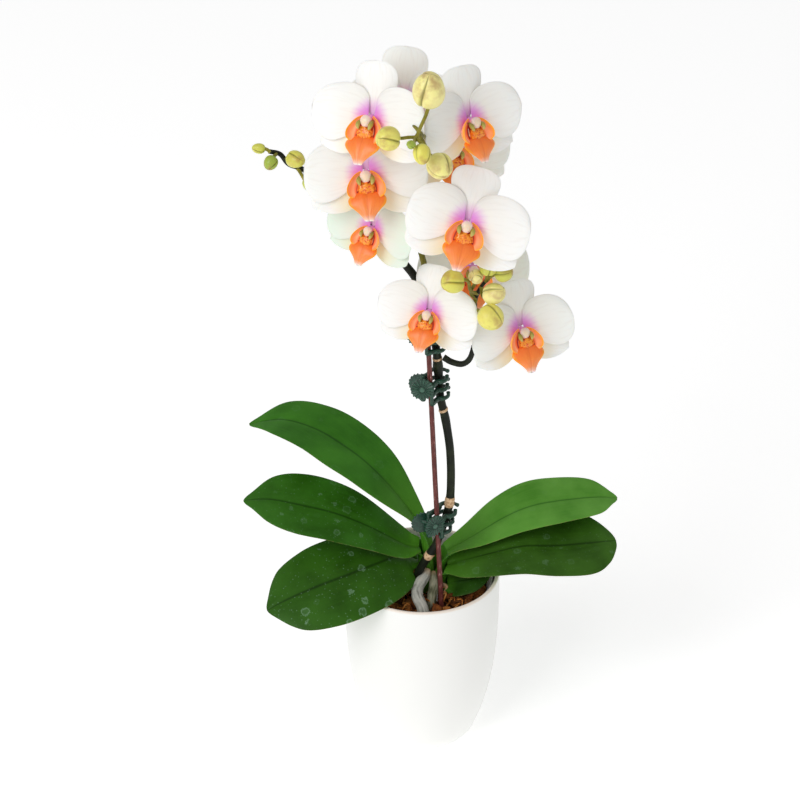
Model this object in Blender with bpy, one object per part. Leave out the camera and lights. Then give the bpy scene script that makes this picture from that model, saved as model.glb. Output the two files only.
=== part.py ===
"""Small moth orchid with a branched spike, its stake and three daisy clips, in a white cover pot.

Metres, +Z up. The origin is the middle of the pot's foot, on the surface that the pot stands on.
The plant's places are rows in millimetres from the middle of the pot's rim, so the plant follows
the pot when the pot's height changes. The front of the plant faces -Y.
"""

import math

import bmesh
import bpy
from mathutils import Matrix, Vector

MM = 0.001
GAP = 0.3 * MM  # left between pieces that rest on, hold or grow from each other

# Cover pot
POT_HEIGHT = 122 * MM
POT_RIM_RADIUS = 50.5 * MM
POT_FOOT_RADIUS = 34 * MM
POT_WALL = 2.6 * MM
POT_FLOOR = 4 * MM
POT_BELLY = 3.3  # power of the side's curve: higher fills the pot out sooner above its foot
RIM = Vector((0, 0, POT_HEIGHT))

# Grow pot and bark
GROW_POT_DROP = 5 * MM  # from the cover pot's rim down to the grow pot's
GROW_POT_WALL = 0.9 * MM
GROW_POT_ROOM = 1.6 * MM  # between the two pots, all round
DRAIN_RADIUS = 6 * MM
BARK_DROP = 14 * MM  # from the cover pot's rim down to the top of the bark
BARK_TOP = POT_HEIGHT - BARK_DROP

# Stems
SPIKE_RADIUS = 2.6 * MM
BRANCH_RADIUS = 1.9 * MM
PEDICEL_RADIUS = 1.1 * MM
STAKE_RADIUS = 1.6 * MM
STAKE_DEPTH = 40 * MM  # how far the stake goes into the bark

# Crown
CROWN_RADIUS = 9 * MM
CROWN_DEPTH = 7 * MM
CROWN_HEIGHT = 50 * MM  # above the bark
CROWN_X = 7 * MM

# Leaves and flowers
LEAF_THICKNESS = 2.2 * MM
PETAL_THICKNESS = 0.8 * MM
HUB_RADIUS = 4.5 * MM
HUB_BACK = 6 * MM
COLUMN_RADIUS = 3.1 * MM
COLUMN_LENGTH = 9.5 * MM

# Claw clips
CLIP_BAR = 1.15 * MM  # half the thickness of a finger
CLIP_FINGER_STEP = 6.2 * MM
CLIP_RING = 1.35 * SPIKE_RADIUS + CLIP_BAR + 3 * GAP  # from the spike's middle line to a finger's
DAISY_RADIUS = 7.5 * MM
DAISY_THICKNESS = 1.6 * MM
DAISY_PETALS = 9


# ------------------------------------------------------------------ tools

def from_rim(x, y, z):
    """A place given in millimetres from the middle of the rim."""
    return RIM + Vector((x, y, z)) * MM


def finish(name, mesh, colour, roughness, metallic=0.0):
    """Turns a closed bmesh into a named, smooth object with its own material."""
    bmesh.ops.recalc_face_normals(mesh, faces=mesh.faces)
    data = bpy.data.meshes.new(name)
    mesh.to_mesh(data)
    mesh.free()
    data.shade_smooth()
    data.set_sharp_from_angle(angle=math.radians(40))
    material = bpy.data.materials.new(name)
    material.use_nodes = True
    shader = material.node_tree.nodes["Principled BSDF"]
    shader.inputs["Base Color"].default_value = (*colour, 1.0)
    shader.inputs["Roughness"].default_value = roughness
    shader.inputs["Metallic"].default_value = metallic
    data.materials.append(material)
    piece = bpy.data.objects.new(name, data)
    bpy.context.scene.collection.objects.link(piece)
    return piece


def boolean(piece, other_mesh, operation):
    """Joins or cuts a piece with another closed bmesh, kept as a hidden wire object."""
    bmesh.ops.recalc_face_normals(other_mesh, faces=other_mesh.faces)
    data = bpy.data.meshes.new(piece.name + "_helper")
    other_mesh.to_mesh(data)
    other_mesh.free()
    helper = bpy.data.objects.new(piece.name + "_helper", data)
    bpy.context.scene.collection.objects.link(helper)
    helper.hide_render = True
    helper.display_type = "WIRE"
    modifier = piece.modifiers.new(operation.title(), "BOOLEAN")
    modifier.operation = operation
    modifier.solver = "EXACT"
    modifier.object = helper


def close_rings(mesh, rings, wrap):
    """Skins a list of vertex rings; wrap also joins the last ring to the first."""
    count = len(rings[0])
    pairs = list(zip(rings, rings[1:]))
    if wrap:
        pairs.append((rings[-1], rings[0]))
    for ring_a, ring_b in pairs:
        for i in range(count):
            j = (i + 1) % count
            mesh.faces.new((ring_a[i], ring_a[j], ring_b[j], ring_b[i]))
    if not wrap:
        mesh.faces.new(rings[0])
        mesh.faces.new(rings[-1])


def lathe(profile, segments, wrap=False):
    """Turns (radius, height) points about Z. With wrap the profile is the ring of a hollow piece."""
    mesh = bmesh.new()
    rings = []
    for radius, height in profile:
        ring = []
        for i in range(segments):
            angle = 2 * math.pi * i / segments
            ring.append(mesh.verts.new((radius * math.cos(angle), radius * math.sin(angle), height)))
        rings.append(ring)
    close_rings(mesh, rings, wrap)
    return mesh


def smooth_route(points, count):
    """Points evenly spread by parameter on a Catmull-Rom curve through the given points."""
    ends = [points[0] * 2 - points[1]] + list(points) + [points[-1] * 2 - points[-2]]
    route = []
    for i in range(count):
        place = i / (count - 1) * (len(points) - 1)
        k = min(int(place), len(points) - 2)
        t = place - k
        a, b, c, d = ends[k:k + 4]
        route.append(0.5 * (2 * b + (c - a) * t + (2 * a - 5 * b + 4 * c - d) * t ** 2
                            + (3 * b - a - 3 * c + d) * t ** 3))
    return route


def bezier(a, b, c, d, count):
    route = []
    for i in range(count):
        t = i / (count - 1)
        s = 1 - t
        route.append(a * s ** 3 + b * 3 * s * s * t + c * 3 * s * t * t + d * t ** 3)
    return route


def tube(route, radii, sides):
    """A closed round tube along a route; its rings turn as little as they can."""
    mesh = bmesh.new()
    rings = []
    side = None
    for i, point in enumerate(route):
        along = (route[min(i + 1, len(route) - 1)] - route[max(i - 1, 0)]).normalized()
        if side is None:
            side = along.orthogonal().normalized()
        side = (side - along * side.dot(along)).normalized()
        other = along.cross(side)
        ring = []
        for k in range(sides):
            angle = 2 * math.pi * k / sides
            ring.append(mesh.verts.new(point + radii[i] * (side * math.cos(angle) + other * math.sin(angle))))
        rings.append(ring)
    close_rings(mesh, rings, False)
    return mesh


def blade(grid, thickness):
    """A thin closed solid about a grid of points, its rim half as thick as its middle."""
    mesh = bmesh.new()
    rows, columns = len(grid), len(grid[0])
    faces_up, faces_down = [], []
    for i in range(rows):
        up, down = [], []
        for j in range(columns):
            along = grid[min(i + 1, rows - 1)][j] - grid[max(i - 1, 0)][j]
            across = grid[i][min(j + 1, columns - 1)] - grid[i][max(j - 1, 0)]
            normal = along.cross(across).normalized()
            on_rim = j in (0, columns - 1) or i == rows - 1
            half = thickness * (0.25 if on_rim else 0.5)
            up.append(mesh.verts.new(grid[i][j] + normal * half))
            down.append(mesh.verts.new(grid[i][j] - normal * half))
        faces_up.append(up)
        faces_down.append(down)
    for i in range(rows - 1):
        for j in range(columns - 1):
            for side in (faces_up, faces_down):
                mesh.faces.new((side[i][j], side[i][j + 1], side[i + 1][j + 1], side[i + 1][j]))
    last_row, last_column = rows - 1, columns - 1
    rim = [(0, j) for j in range(last_column)] + [(i, last_column) for i in range(last_row)]
    rim += [(last_row, j) for j in range(last_column, 0, -1)] + [(i, 0) for i in range(last_row, 0, -1)]
    for (i, j), (k, m) in zip(rim, rim[1:] + rim[:1]):
        mesh.faces.new((faces_up[i][j], faces_up[k][m], faces_down[k][m], faces_down[i][j]))
    return mesh


def share(values, place):
    """Reads a list of evenly spread values at a place from 0 to 1."""
    spot = place * (len(values) - 1)
    k = min(int(spot), len(values) - 2)
    return values[k] + (values[k + 1] - values[k]) * (spot - k)


# ------------------------------------------------------------------ pots and bark

def pot_radius(height):
    """The cover pot's outer radius: it swells fast above the foot and stands upright at the rim."""
    rise = 1 - height / POT_HEIGHT
    return POT_FOOT_RADIUS + (POT_RIM_RADIUS - POT_FOOT_RADIUS) * (1 - rise ** POT_BELLY)


def build_pot():
    foot_round = 2.5 * MM
    outside = [(pot_radius(POT_HEIGHT * i / 8), POT_HEIGHT * i / 8) for i in range(8, 0, -1)]
    outside[0] = (POT_RIM_RADIUS, POT_HEIGHT - POT_WALL * 0.3)
    foot = [(pot_radius(foot_round), foot_round), (POT_FOOT_RADIUS - foot_round * 0.4, 0)]
    floor = [(POT_FOOT_RADIUS - POT_WALL - foot_round * 2, POT_FLOOR)]
    inside = []
    for i in range(1, 7):
        height = POT_FLOOR + (POT_HEIGHT - POT_FLOOR) * i / 6
        inside.append((pot_radius(height) - POT_WALL, height))
    inside[-1] = (POT_RIM_RADIUS - POT_WALL, POT_HEIGHT - POT_WALL * 0.3)
    lip = [(POT_RIM_RADIUS - POT_WALL * 0.7, POT_HEIGHT), (POT_RIM_RADIUS - POT_WALL * 0.3, POT_HEIGHT)]
    centre = 0.5 * MM  # the tiny last rings of the two floors, closed by their own faces
    mesh = lathe([(centre, 0), *reversed(foot), *reversed(outside), *reversed(lip), *reversed(inside),
                  *floor, (centre, POT_FLOOR)], 32)
    finish("pot", mesh, (0.93, 0.93, 0.91), 0.22)


GROW_POT_BOTTOM = POT_FLOOR + GAP
GROW_POT_TOP = POT_HEIGHT - GROW_POT_DROP
GROW_POT_FOOT_RADIUS = POT_FOOT_RADIUS - POT_WALL - GROW_POT_ROOM - 4 * MM
GROW_POT_RIM_RADIUS = pot_radius(GROW_POT_TOP) - POT_WALL - GROW_POT_ROOM


def grow_pot_inside(height):
    """The grow pot's inner radius at a height: it is a plain straight taper."""
    rise = (height - GROW_POT_BOTTOM) / (GROW_POT_TOP - GROW_POT_BOTTOM)
    return GROW_POT_FOOT_RADIUS + (GROW_POT_RIM_RADIUS - GROW_POT_FOOT_RADIUS) * rise - GROW_POT_WALL


def build_grow_pot():
    inner_floor = GROW_POT_BOTTOM + GROW_POT_WALL
    profile = [(GROW_POT_RIM_RADIUS, GROW_POT_TOP), (GROW_POT_FOOT_RADIUS, GROW_POT_BOTTOM),
               (DRAIN_RADIUS, GROW_POT_BOTTOM), (DRAIN_RADIUS, inner_floor),
               (grow_pot_inside(inner_floor), inner_floor), (grow_pot_inside(GROW_POT_TOP), GROW_POT_TOP)]
    finish("grow_pot", lathe(profile, 32, wrap=True), (0.55, 0.56, 0.54), 0.3)


def build_bark():
    bottom = GROW_POT_BOTTOM + GROW_POT_WALL + GAP
    top_radius = grow_pot_inside(BARK_TOP) - GAP
    crest = 1.5 * MM
    profile = [(grow_pot_inside(bottom) - GAP, bottom), (top_radius - crest, BARK_TOP - crest),
               (top_radius * 0.8, BARK_TOP), (top_radius * 0.45, BARK_TOP)]
    bark = finish("bark_mix", lathe(profile, 28), (0.32, 0.16, 0.07), 0.9)
    crown_socket = lathe([(CROWN_RADIUS + GAP, BARK_TOP - CROWN_DEPTH - GAP),
                          (CROWN_RADIUS + GAP, BARK_TOP + CROWN_DEPTH)], 20)
    bmesh.ops.translate(crown_socket, vec=(CROWN_X, 0, 0), verts=crown_socket.verts)
    boolean(bark, crown_socket, "DIFFERENCE")
    foot, top = stake_end(), stake_point(BARK_TOP + 10 * MM)
    down = (foot - top).normalized()
    stake_socket = tube([top, foot + down * GAP], [STAKE_RADIUS + GAP] * 2, 10)
    boolean(bark, stake_socket, "DIFFERENCE")
    for _, radius, points in ROOTS:
        route = [from_rim(*point) for point in points[-2:]]
        end = route[-1] + (route[-1] - route[0]).normalized() * GAP * 2
        boolean(bark, tube([route[0], end], [radius * MM + GAP * 1.5] * 2, 10), "DIFFERENCE")


# ------------------------------------------------------------------ stake, spike and branches

STAKE_LOW = Vector((11.9, -27.4, 0)) * MM  # where the stake's middle line crosses the rim's height
STAKE_LEAN = Vector((-9.1, 9.6, 184)) * MM  # from there up to its top end


def stake_point(height):
    rise = (height - POT_HEIGHT) / STAKE_LEAN.z
    return RIM + STAKE_LOW + STAKE_LEAN * rise


def stake_end():
    return stake_point(BARK_TOP - STAKE_DEPTH)


def build_stake():
    top = stake_point(POT_HEIGHT + STAKE_LEAN.z)
    route = [stake_end(), stake_point(BARK_TOP), top, top + STAKE_LEAN.normalized() * STAKE_RADIUS * 0.6]
    radii = [STAKE_RADIUS, STAKE_RADIUS, STAKE_RADIUS, STAKE_RADIUS * 0.5]
    finish("stake", tube(route, radii, 10), (0.15, 0.05, 0.04), 0.5)


# Middle lines of the spike with its left branch, and of the two other branches
SPIKE_LINE = [(-3.0, -7.6, -7), (-3.4, -11.5, 2), (0.8, -14.2, 14), (9.0, -16.6, 31), (14.0, -18, 49),
              (17.2, -17, 63), (17.9, -15, 79), (17.2, -13, 99), (14.2, -12, 121), (10.6, -12, 139),
              (9.2, -13, 160), (7.6, -14, 176), (3.0, -13, 200), (-4, -10.5, 219), (-11, -8.5, 229),
              (-20, -8, 240), (-38, -9, 262), (-56, -14, 284), (-71, -20, 299), (-80, -22, 304),
              (-85, -23, 311), (-91, -25.5, 314)]
CENTRE_LINE = [(-0.5, -13.4, 220.5), (0.6, -13.2, 230), (-3.5, -12.5, 247), (-9, -15, 272), (-6, -20, 293),
               (1.5, -30, 314), (2.5, -44, 328), (0.5, -60, 340), (-3.8, -75, 348.5), (-5.5, -82, 349.5)]
RIGHT_LINE = [(12.6, -15.4, 168), (17.5, -16.5, 165.4), (24, -18.5, 165), (28.6, -20.5, 170),
              (31, -23.5, 181), (32.6, -27, 193), (31.4, -32, 207), (31, -38, 221), (34, -44, 233),
              (38, -49, 241.5)]
SPIKE_THICKEN = [(14, 1.15), (49, 1.12), (121, 1.1), (160, 1.35), (219, 1.0)]  # nodes: height, swelling


def line_route(points, count):
    return smooth_route([from_rim(*point) for point in points], count)


def spike_point(height):
    """The spike's middle line at a height above the surface, read off its route."""
    route = line_route(SPIKE_LINE, 120)
    return min(route, key=lambda point: abs(point.z - height))


def taper(route, start, end):
    return [start + (end - start) * i / (len(route) - 1) for i in range(len(route))]


# Flowers: name, place from the rim, turn to the right, roll clockwise, size, tilt, the branch line
# it grows from, how far along that line, and the way its pedicel sets out
FLOWERS = [
    ("flower_01", (-30.5, -46, 345.5), -28, -4, 0.98, 17, "centre", 0.84, (-0.4, 0.5, 0.6)),
    ("flower_02", (-12.0, -18, 340.6), 0, 2, 1.00, 14, "centre", 0.47, (-0.2, 0.9, 0.5)),
    ("flower_03", (25.5, -42, 342.0), 34, 4, 0.94, 17, "centre", 0.78, (0.4, 0.7, 0.4)),
    ("flower_04", (17.5, 8, 299.2), 12, 0, 0.95, 17, "centre", 0.34, (0.5, 0.9, -0.3)),
    ("flower_05", (-34.0, -38, 306.0), -4, -6, 1.00, 18, "centre", 0.42, (-0.7, 0.2, 0.4)),
    ("flower_06", (-30.5, -36, 268.4), -28, 4, 0.80, 14, "spike", 0.755, (0.1, -0.4, 0.8)),
    ("flower_07", (24.6, -60, 284.2), 0, 13, 1.00, 18, "centre", 0.25, (0.7, -0.3, 0.6)),
    ("flower_08", (30.0, 1, 221.8), 6, 0, 0.96, 17, "right", 0.5, (-0.1, 0.9, -0.7)),
    ("flower_09", (3.0, -48, 218.0), -14, 4, 0.86, 16, "spike", 0.585, (0.1, -0.7, 0.5)),
    ("flower_10", (58.5, -40, 201.6), 20, -2, 0.91, 16, "right", 0.46, (0.8, -0.1, 0.2)),
]

# Buds: name, middle from the rim, length, width, the way the tip points, branch line, how far along
BUDS = [
    ("bud_top_1", (2.1, -74, 376.9), 23, 18, (0.0, -0.35, 1.0), "centre", 0.97),
    ("bud_top_2", (-21.4, -88, 352.9), 14, 13.5, (-0.9, -0.6, 0.3), "centre", 0.95),
    ("bud_top_3", (-1.9, -90, 344.1), 12, 9.6, (0.1, -0.6, -0.8), "centre", 0.98),
    ("bud_top_4", (8.6, -80, 331.4), 15.5, 14.5, (0.5, -0.6, -0.3), "centre", 0.88),
    ("bud_top_5", (-8.1, -92, 351.1), 6, 5, (-0.3, -0.9, 0.3), "centre", 1.0),
    ("bud_left_1", (-97.5, -26.5, 316.6), 8, 6, (-1.0, -0.1, 0.15), "spike", 1.0),
    ("bud_left_2", (-90.5, -30.5, 309), 9, 8, (-0.4, -0.6, -0.6), "spike", 0.975),
    ("bud_left_3", (-75.5, -30, 311.0), 12, 10, (0.7, -0.6, 0.1), "spike", 0.93),
    ("bud_left_4", (-67.5, -29, 292.8), 11, 6.5, (0.6, -0.3, -0.7), "spike", 0.885),
    ("bud_right_1", (16.4, -62, 246.6), 14, 13.5, (-0.8, -0.5, 0.1), "right", 0.84),
    ("bud_right_2", (37.9, -58, 254.9), 12, 10.5, (0.0, -0.5, 0.9), "right", 0.98),
    ("bud_right_3", (47.2, -55, 249), 11.5, 10.5, (0.8, -0.4, 0.4), "right", 1.0),
    ("bud_right_4", (41.8, -56, 235.3), 14.5, 12.5, (0.7, -0.4, 0.6), "right", 0.9),
    ("bud_right_5", (39.8, -64, 223.4), 16, 15, (0.8, -0.6, -0.2), "right", 0.78),
    ("bud_right_6", (30.5, -57, 247.5), 12, 8.5, (-0.2, -0.8, 0.6), "right", 0.8),
]


def flower_matrix(place, turn, roll, size, tilt):
    turned = Matrix.Rotation(math.radians(turn), 4, "Z") @ Matrix.Rotation(math.radians(-tilt), 4, "X")
    rolled = Matrix.Rotation(math.radians(roll), 4, "Y")
    return Matrix.Translation(from_rim(*place)) @ turned @ rolled @ Matrix.Scale(size, 4)


def add_pedicels(stem, line, route):
    """Joins a stalk for each flower and bud of one branch to its stem."""
    for _, place, turn, roll, size, tilt, branch, along, heading in FLOWERS:
        if branch != line:
            continue
        matrix = flower_matrix(place, turn, roll, size, tilt)
        away = (matrix.to_3x3() @ Vector((0, 1, 0))).normalized()
        end = matrix @ Vector((0, HUB_BACK, 0)) + away * GAP
        join_stalk(stem, route, along, Vector(heading).normalized(), end, -away)
    for _, place, length, _, pointing, branch, along in BUDS:
        if branch != line:
            continue
        onward = Vector(pointing).normalized()
        end = from_rim(*place) - onward * (length * MM / 2 + GAP)
        join_stalk(stem, route, along, (end - route[-1] + Vector((0, 0, 0.001))).normalized(), end, onward)


def join_stalk(stem, route, along, heading, end, onward):
    """A pedicel from a place along a route to an end, arriving there along onward."""
    start = route[round(along * (len(route) - 1))]
    reach = (end - start).length * 0.42
    last = onward * PEDICEL_RADIUS  # a short straight stretch squares the stalk's end face
    path = bezier(start, start + heading * reach, end - last - onward * reach, end - last, 6) + [end]
    boolean(stem, tube(path, taper(path, PEDICEL_RADIUS * 1.15, PEDICEL_RADIUS), 5), "UNION")


def build_stems():
    green = (0.03, 0.05, 0.02)
    olive = (0.16, 0.17, 0.04)
    spike = line_route(SPIKE_LINE, 36)
    radii = []
    for point in spike:
        rise = (point.z - POT_HEIGHT) / MM
        radius = SPIKE_RADIUS * (1 - 0.45 * max(0, rise - 219) / 95)
        for height, swell in SPIKE_THICKEN:
            radius *= 1 + (swell - 1) * math.exp(-((rise - height) / 5) ** 2)
        radii.append(radius)
    stem = finish("spike", tube(spike, radii, 8), green, 0.45)
    add_pedicels(stem, "spike", spike)
    centre = line_route(CENTRE_LINE, 20)
    stem = finish("branch_centre", tube(centre, taper(centre, BRANCH_RADIUS, BRANCH_RADIUS * 0.6), 7),
                  olive, 0.45)
    add_pedicels(stem, "centre", centre)
    right = line_route(RIGHT_LINE, 20)
    stem = finish("branch_right", tube(right, taper(right, BRANCH_RADIUS * 1.1, BRANCH_RADIUS * 0.6), 7),
                  green, 0.45)
    add_pedicels(stem, "right", right)


# ------------------------------------------------------------------ flowers and buds

# Sepals and petals: angle from the right-hand side, length, half widths from root to tip in
# millimetres, how far in front of the hub's middle they start, and their sweep to the front
TEPALS = [
    (90, 33.5, (2.4, 8.5, 12, 13.2, 11.5, 4), -1.5, 0.06),
    (-32, 33.5, (2.4, 8, 11, 12, 10, 3.5), -1.1, 0.05),
    (212, 33.5, (2.4, 8, 11, 12, 10, 3.5), -1.9, 0.07),
    (7, 34.5, (2.4, 12, 18.5, 20.5, 17, 7), 1.0, 0.2),
    (173, 34.5, (2.4, 12, 18.5, 20.5, 17, 7), 1.3, 0.19),
]
TEPAL_ROOT = 2.2 * MM

# Lip: how far forward, how far down, half width and how far its edges stand up, root to tip
LIP_ROWS = [(3.0, 5.6, 2.4, 0.4), (6.5, 6.6, 7.0, 4.0), (9.5, 9.0, 10.5, 7.0), (11.5, 13.0, 8.5, 3.0),
            (13.0, 18.0, 8.8, 0.5), (14.2, 22.5, 5.5, 0.2), (15.0, 26.0, 1.6, 0.0)]


def tepal_grid(angle, length, widths, forward, sweep):
    direction = Vector((math.cos(math.radians(angle)), 0, math.sin(math.radians(angle))))
    across = Vector((-direction.z, 0, direction.x))
    grid = []
    for i in range(6):
        reach = i / 5
        middle = direction * (TEPAL_ROOT + (length * MM - TEPAL_ROOT) * reach)
        middle.y = -forward * MM - sweep * length * MM * reach
        half = widths[i] * MM
        row = []
        for j in (-1, 0, 1):
            pulled = -direction * abs(j) ** 2 * half * 0.28 * reach  # rounds the tip off
            curl = Vector((0, 0.06 * half * j * j, 0))
            row.append(middle + across * half * j + pulled + curl)
        grid.append(row)
    return grid


def lip_grid():
    grid = []
    for forward, down, half, stand in LIP_ROWS:
        row = []
        for j in (-1, -0.55, 0, 0.55, 1):
            row.append(Vector((half * j, -forward - stand * 0.15 * j * j, -down + stand * j * j)) * MM)
        grid.append(row)
    return grid


def build_flowers():
    for name, place, turn, roll, size, tilt, *_ in FLOWERS:
        matrix = flower_matrix(place, turn, roll, size, tilt)
        hub = lathe([(HUB_RADIUS * 0.5, HUB_BACK), (HUB_RADIUS, HUB_BACK * 0.3), (HUB_RADIUS, -HUB_BACK * 0.3),
                     (COLUMN_RADIUS * 0.85, -COLUMN_LENGTH * 0.55), (COLUMN_RADIUS, -COLUMN_LENGTH * 0.85),
                     (COLUMN_RADIUS * 0.5, -COLUMN_LENGTH)], 8)
        stand_up = Matrix.Rotation(math.radians(-90), 4, "X")
        bmesh.ops.transform(hub, matrix=matrix @ stand_up, verts=hub.verts)
        flower = finish(name + "_petals", hub, (0.91, 0.9, 0.86), 0.5)
        for tepal in TEPALS:
            leaf = blade(tepal_grid(*tepal), PETAL_THICKNESS)
            bmesh.ops.transform(leaf, matrix=matrix, verts=leaf.verts)
            boolean(flower, leaf, "UNION")
        lip = blade(lip_grid(), PETAL_THICKNESS * 1.3)
        bmesh.ops.transform(lip, matrix=matrix, verts=lip.verts)
        finish(name + "_lip", lip, (0.9, 0.2, 0.03), 0.4)


def build_buds():
    for name, place, length, width, pointing, *_ in BUDS:
        long, wide = length * MM, width * MM / 2
        mesh = lathe([(wide * 0.25, -0.5 * long), (wide * 0.8, -0.33 * long), (wide, -0.05 * long),
                      (wide * 0.8, 0.27 * long), (wide * 0.25, 0.5 * long)], 8)
        turn = Vector((0, 0, 1)).rotation_difference(Vector(pointing)).to_matrix().to_4x4()
        bmesh.ops.transform(mesh, matrix=Matrix.Translation(from_rim(*place)) @ turn, verts=mesh.verts)
        finish(name, mesh, (0.5, 0.52, 0.14), 0.45)


# ------------------------------------------------------------------ crown, leaves and roots

# Leaves: name, middle line from the crown out, half widths along it, degrees that the blade tips
# to the front, and how much its halves droop (below 0) or fold up (above 0)
LEAVES = [
    ("leaf_left_top", [(-0.6, 2, 31), (-17, 8, 53), (-34, 16, 69), (-49, 22, 79), (-68, 30, 87.5),
                       (-90, 38, 90), (-112, 44, 83)], (6, 15, 21, 23.5, 22.5, 17, 2), 10, 0.1),
    ("leaf_left_middle", [(-2.6, -1, 17), (-12, -3, 21), (-34, -4, 35), (-56, -2, 44), (-78, 0, 49),
                          (-97, 2, 52), (-115, 4, 50.5)], (6, 12, 19, 23.5, 24, 18, 2.5), 20, 0.08),
    ("leaf_left_front", [(-3.8, 3, 5), (-13, -2, 12), (-29, -18, 16.1), (-46, -29, 15.5), (-65, -37, 12.3),
                         (-84, -43, 6.5), (-99, -47, 0)], (4, 10, 24, 30, 30, 24, 8), 24, -0.1),
    ("leaf_right_top", [(16.6, 0, 13.5), (35, 4, 24), (54, 10, 33.5), (70, 14.5, 38.5), (87, 20, 39),
                        (112, 27, 37.5), (127.5, 31, 34.5)], (6, 12, 17, 20, 20.5, 16, 2.5), 14, 0.1),
    ("leaf_right_middle", [(16.8, -3, 5), (28, -5, 10), (45, -6, 16), (65, -4, 20), (86, -2, 19),
                           (108, 2, 18.5), (126, 7, 17.5)], (6, 12, 18, 23, 25, 24, 10), 20, 0.04),
    ("leaf_right_small", [(17.2, -5.5, -8), (23, -9, -4), (31, -11, -1), (39, -10, 1.6), (45.5, -7.5, 2.4)],
     (6, 12, 10.5, 6, 1.5), 28, 0.1),
]

# Roots: name, radius, middle line from the crown down into the bark
ROOTS = [
    ("root_long", 3.3, [(4.2, -10.5, 6), (3.2, -14.2, 3.5), (-0.6, -19, 2.4), (-3.4, -24, 1),
                        (-3.4, -28.5, -2.2), (0, -34.5, -8), (2.4, -37, -18)]),
    ("root_middle", 2.5, [(9.9, -9.8, 1.6), (8.8, -13, 1), (7.5, -18, -2), (6.4, -22, -5.4),
                          (5.4, -26, -9.7), (5.1, -27.5, -18)]),
    ("root_thin", 1.3, [(9.6, -9.7, -5), (9, -15, -6.4), (8.6, -19, -9.6), (8.3, -22.6, -13.2),
                        (8.2, -24, -18)]),
]


def build_crown():
    height = CROWN_HEIGHT
    profile = [(CROWN_RADIUS, -CROWN_DEPTH), (CROWN_RADIUS, height * 0.4), (CROWN_RADIUS * 0.9, height * 0.62),
               (CROWN_RADIUS * 0.7, height * 0.85), (CROWN_RADIUS * 0.3, height)]
    mesh = lathe(profile, 20)
    bmesh.ops.translate(mesh, vec=(CROWN_X, 0, BARK_TOP), verts=mesh.verts)
    finish("crown", mesh, (0.12, 0.28, 0.05), 0.45)


def leaf_grid(points, widths, tip_forward, fold):
    """Rows of five points across the blade, along its middle line."""
    count = 9
    middle = smooth_route([from_rim(*point) for point in points], count)
    grid = []
    for i in range(count):
        along = (middle[min(i + 1, count - 1)] - middle[max(i - 1, 0)]).normalized()
        across = along.cross(Vector((0, 0, 1))).normalized()
        if across.y > 0:
            across = -across
        up = across.cross(along)
        if up.z < 0:
            up = -up
        tip = math.radians(tip_forward)
        across, up = across * math.cos(tip) - up * math.sin(tip), up * math.cos(tip) + across * math.sin(tip)
        half = share(widths, i / (count - 1)) * MM
        row = []
        for j in (-1, -0.5, 0, 0.5, 1):
            bend = j * j if fold < 0 else abs(j)
            row.append(middle[i] + across * half * j + up * half * fold * bend)
        grid.append(row)
    return grid


def build_leaves():
    for name, points, widths, tip_forward, fold in LEAVES:
        finish(name, blade(leaf_grid(points, widths, tip_forward, fold), LEAF_THICKNESS),
               (0.04, 0.15, 0.02), 0.35)


def build_roots():
    for name, radius, points in ROOTS:
        bends = line_route(points[:-1], 10)
        route = bends + [from_rim(*points[-1])]
        finish(name, tube(route, [radius * MM] * len(route), 10), (0.36, 0.36, 0.31), 0.8)


# ------------------------------------------------------------------ claw clips

# Clips: name, rise of the middle finger from the rim, and degrees that the clip turns round the stake
CLIPS = [("clip_lower", 49.5, 35), ("clip_middle", 145.5, 0), ("clip_upper", 180.5, -25)]
# Before that turn, from the stake's middle line: the two daisies and the hinge
FRONT_DAISY = Vector((-5.3, -4.3, 4.6)) * MM
REAR_DAISY = Vector((-8.8, 8.6, 3)) * MM
HINGE = Vector((-4.6, 2.6, 0)) * MM


def daisy(centre, facing):
    """A flat scalloped disc, the push plate of a handle."""
    mesh = bmesh.new()
    rings = []
    for side in (-0.5, 0.5):
        ring = []
        for i in range(2 * DAISY_PETALS):
            angle = math.pi * i / DAISY_PETALS
            radius = DAISY_RADIUS * (0.95 + 0.05 * math.cos(DAISY_PETALS * angle))
            ring.append(mesh.verts.new((radius * math.cos(angle), radius * math.sin(angle),
                                        side * DAISY_THICKNESS)))
        rings.append(ring)
    close_rings(mesh, rings, False)
    turn = Vector((0, 0, 1)).rotation_difference(facing).to_matrix().to_4x4()
    bmesh.ops.transform(mesh, matrix=Matrix.Translation(centre) @ turn, verts=mesh.verts)
    return mesh


def post(foot, low, high, radius):
    """An upright bar of a clip, from one finger level to another."""
    ends = [foot + Vector((0, 0, level * CLIP_FINGER_STEP)) for level in (low, high)]
    return tube(ends, [radius] * 2, 10)


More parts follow.
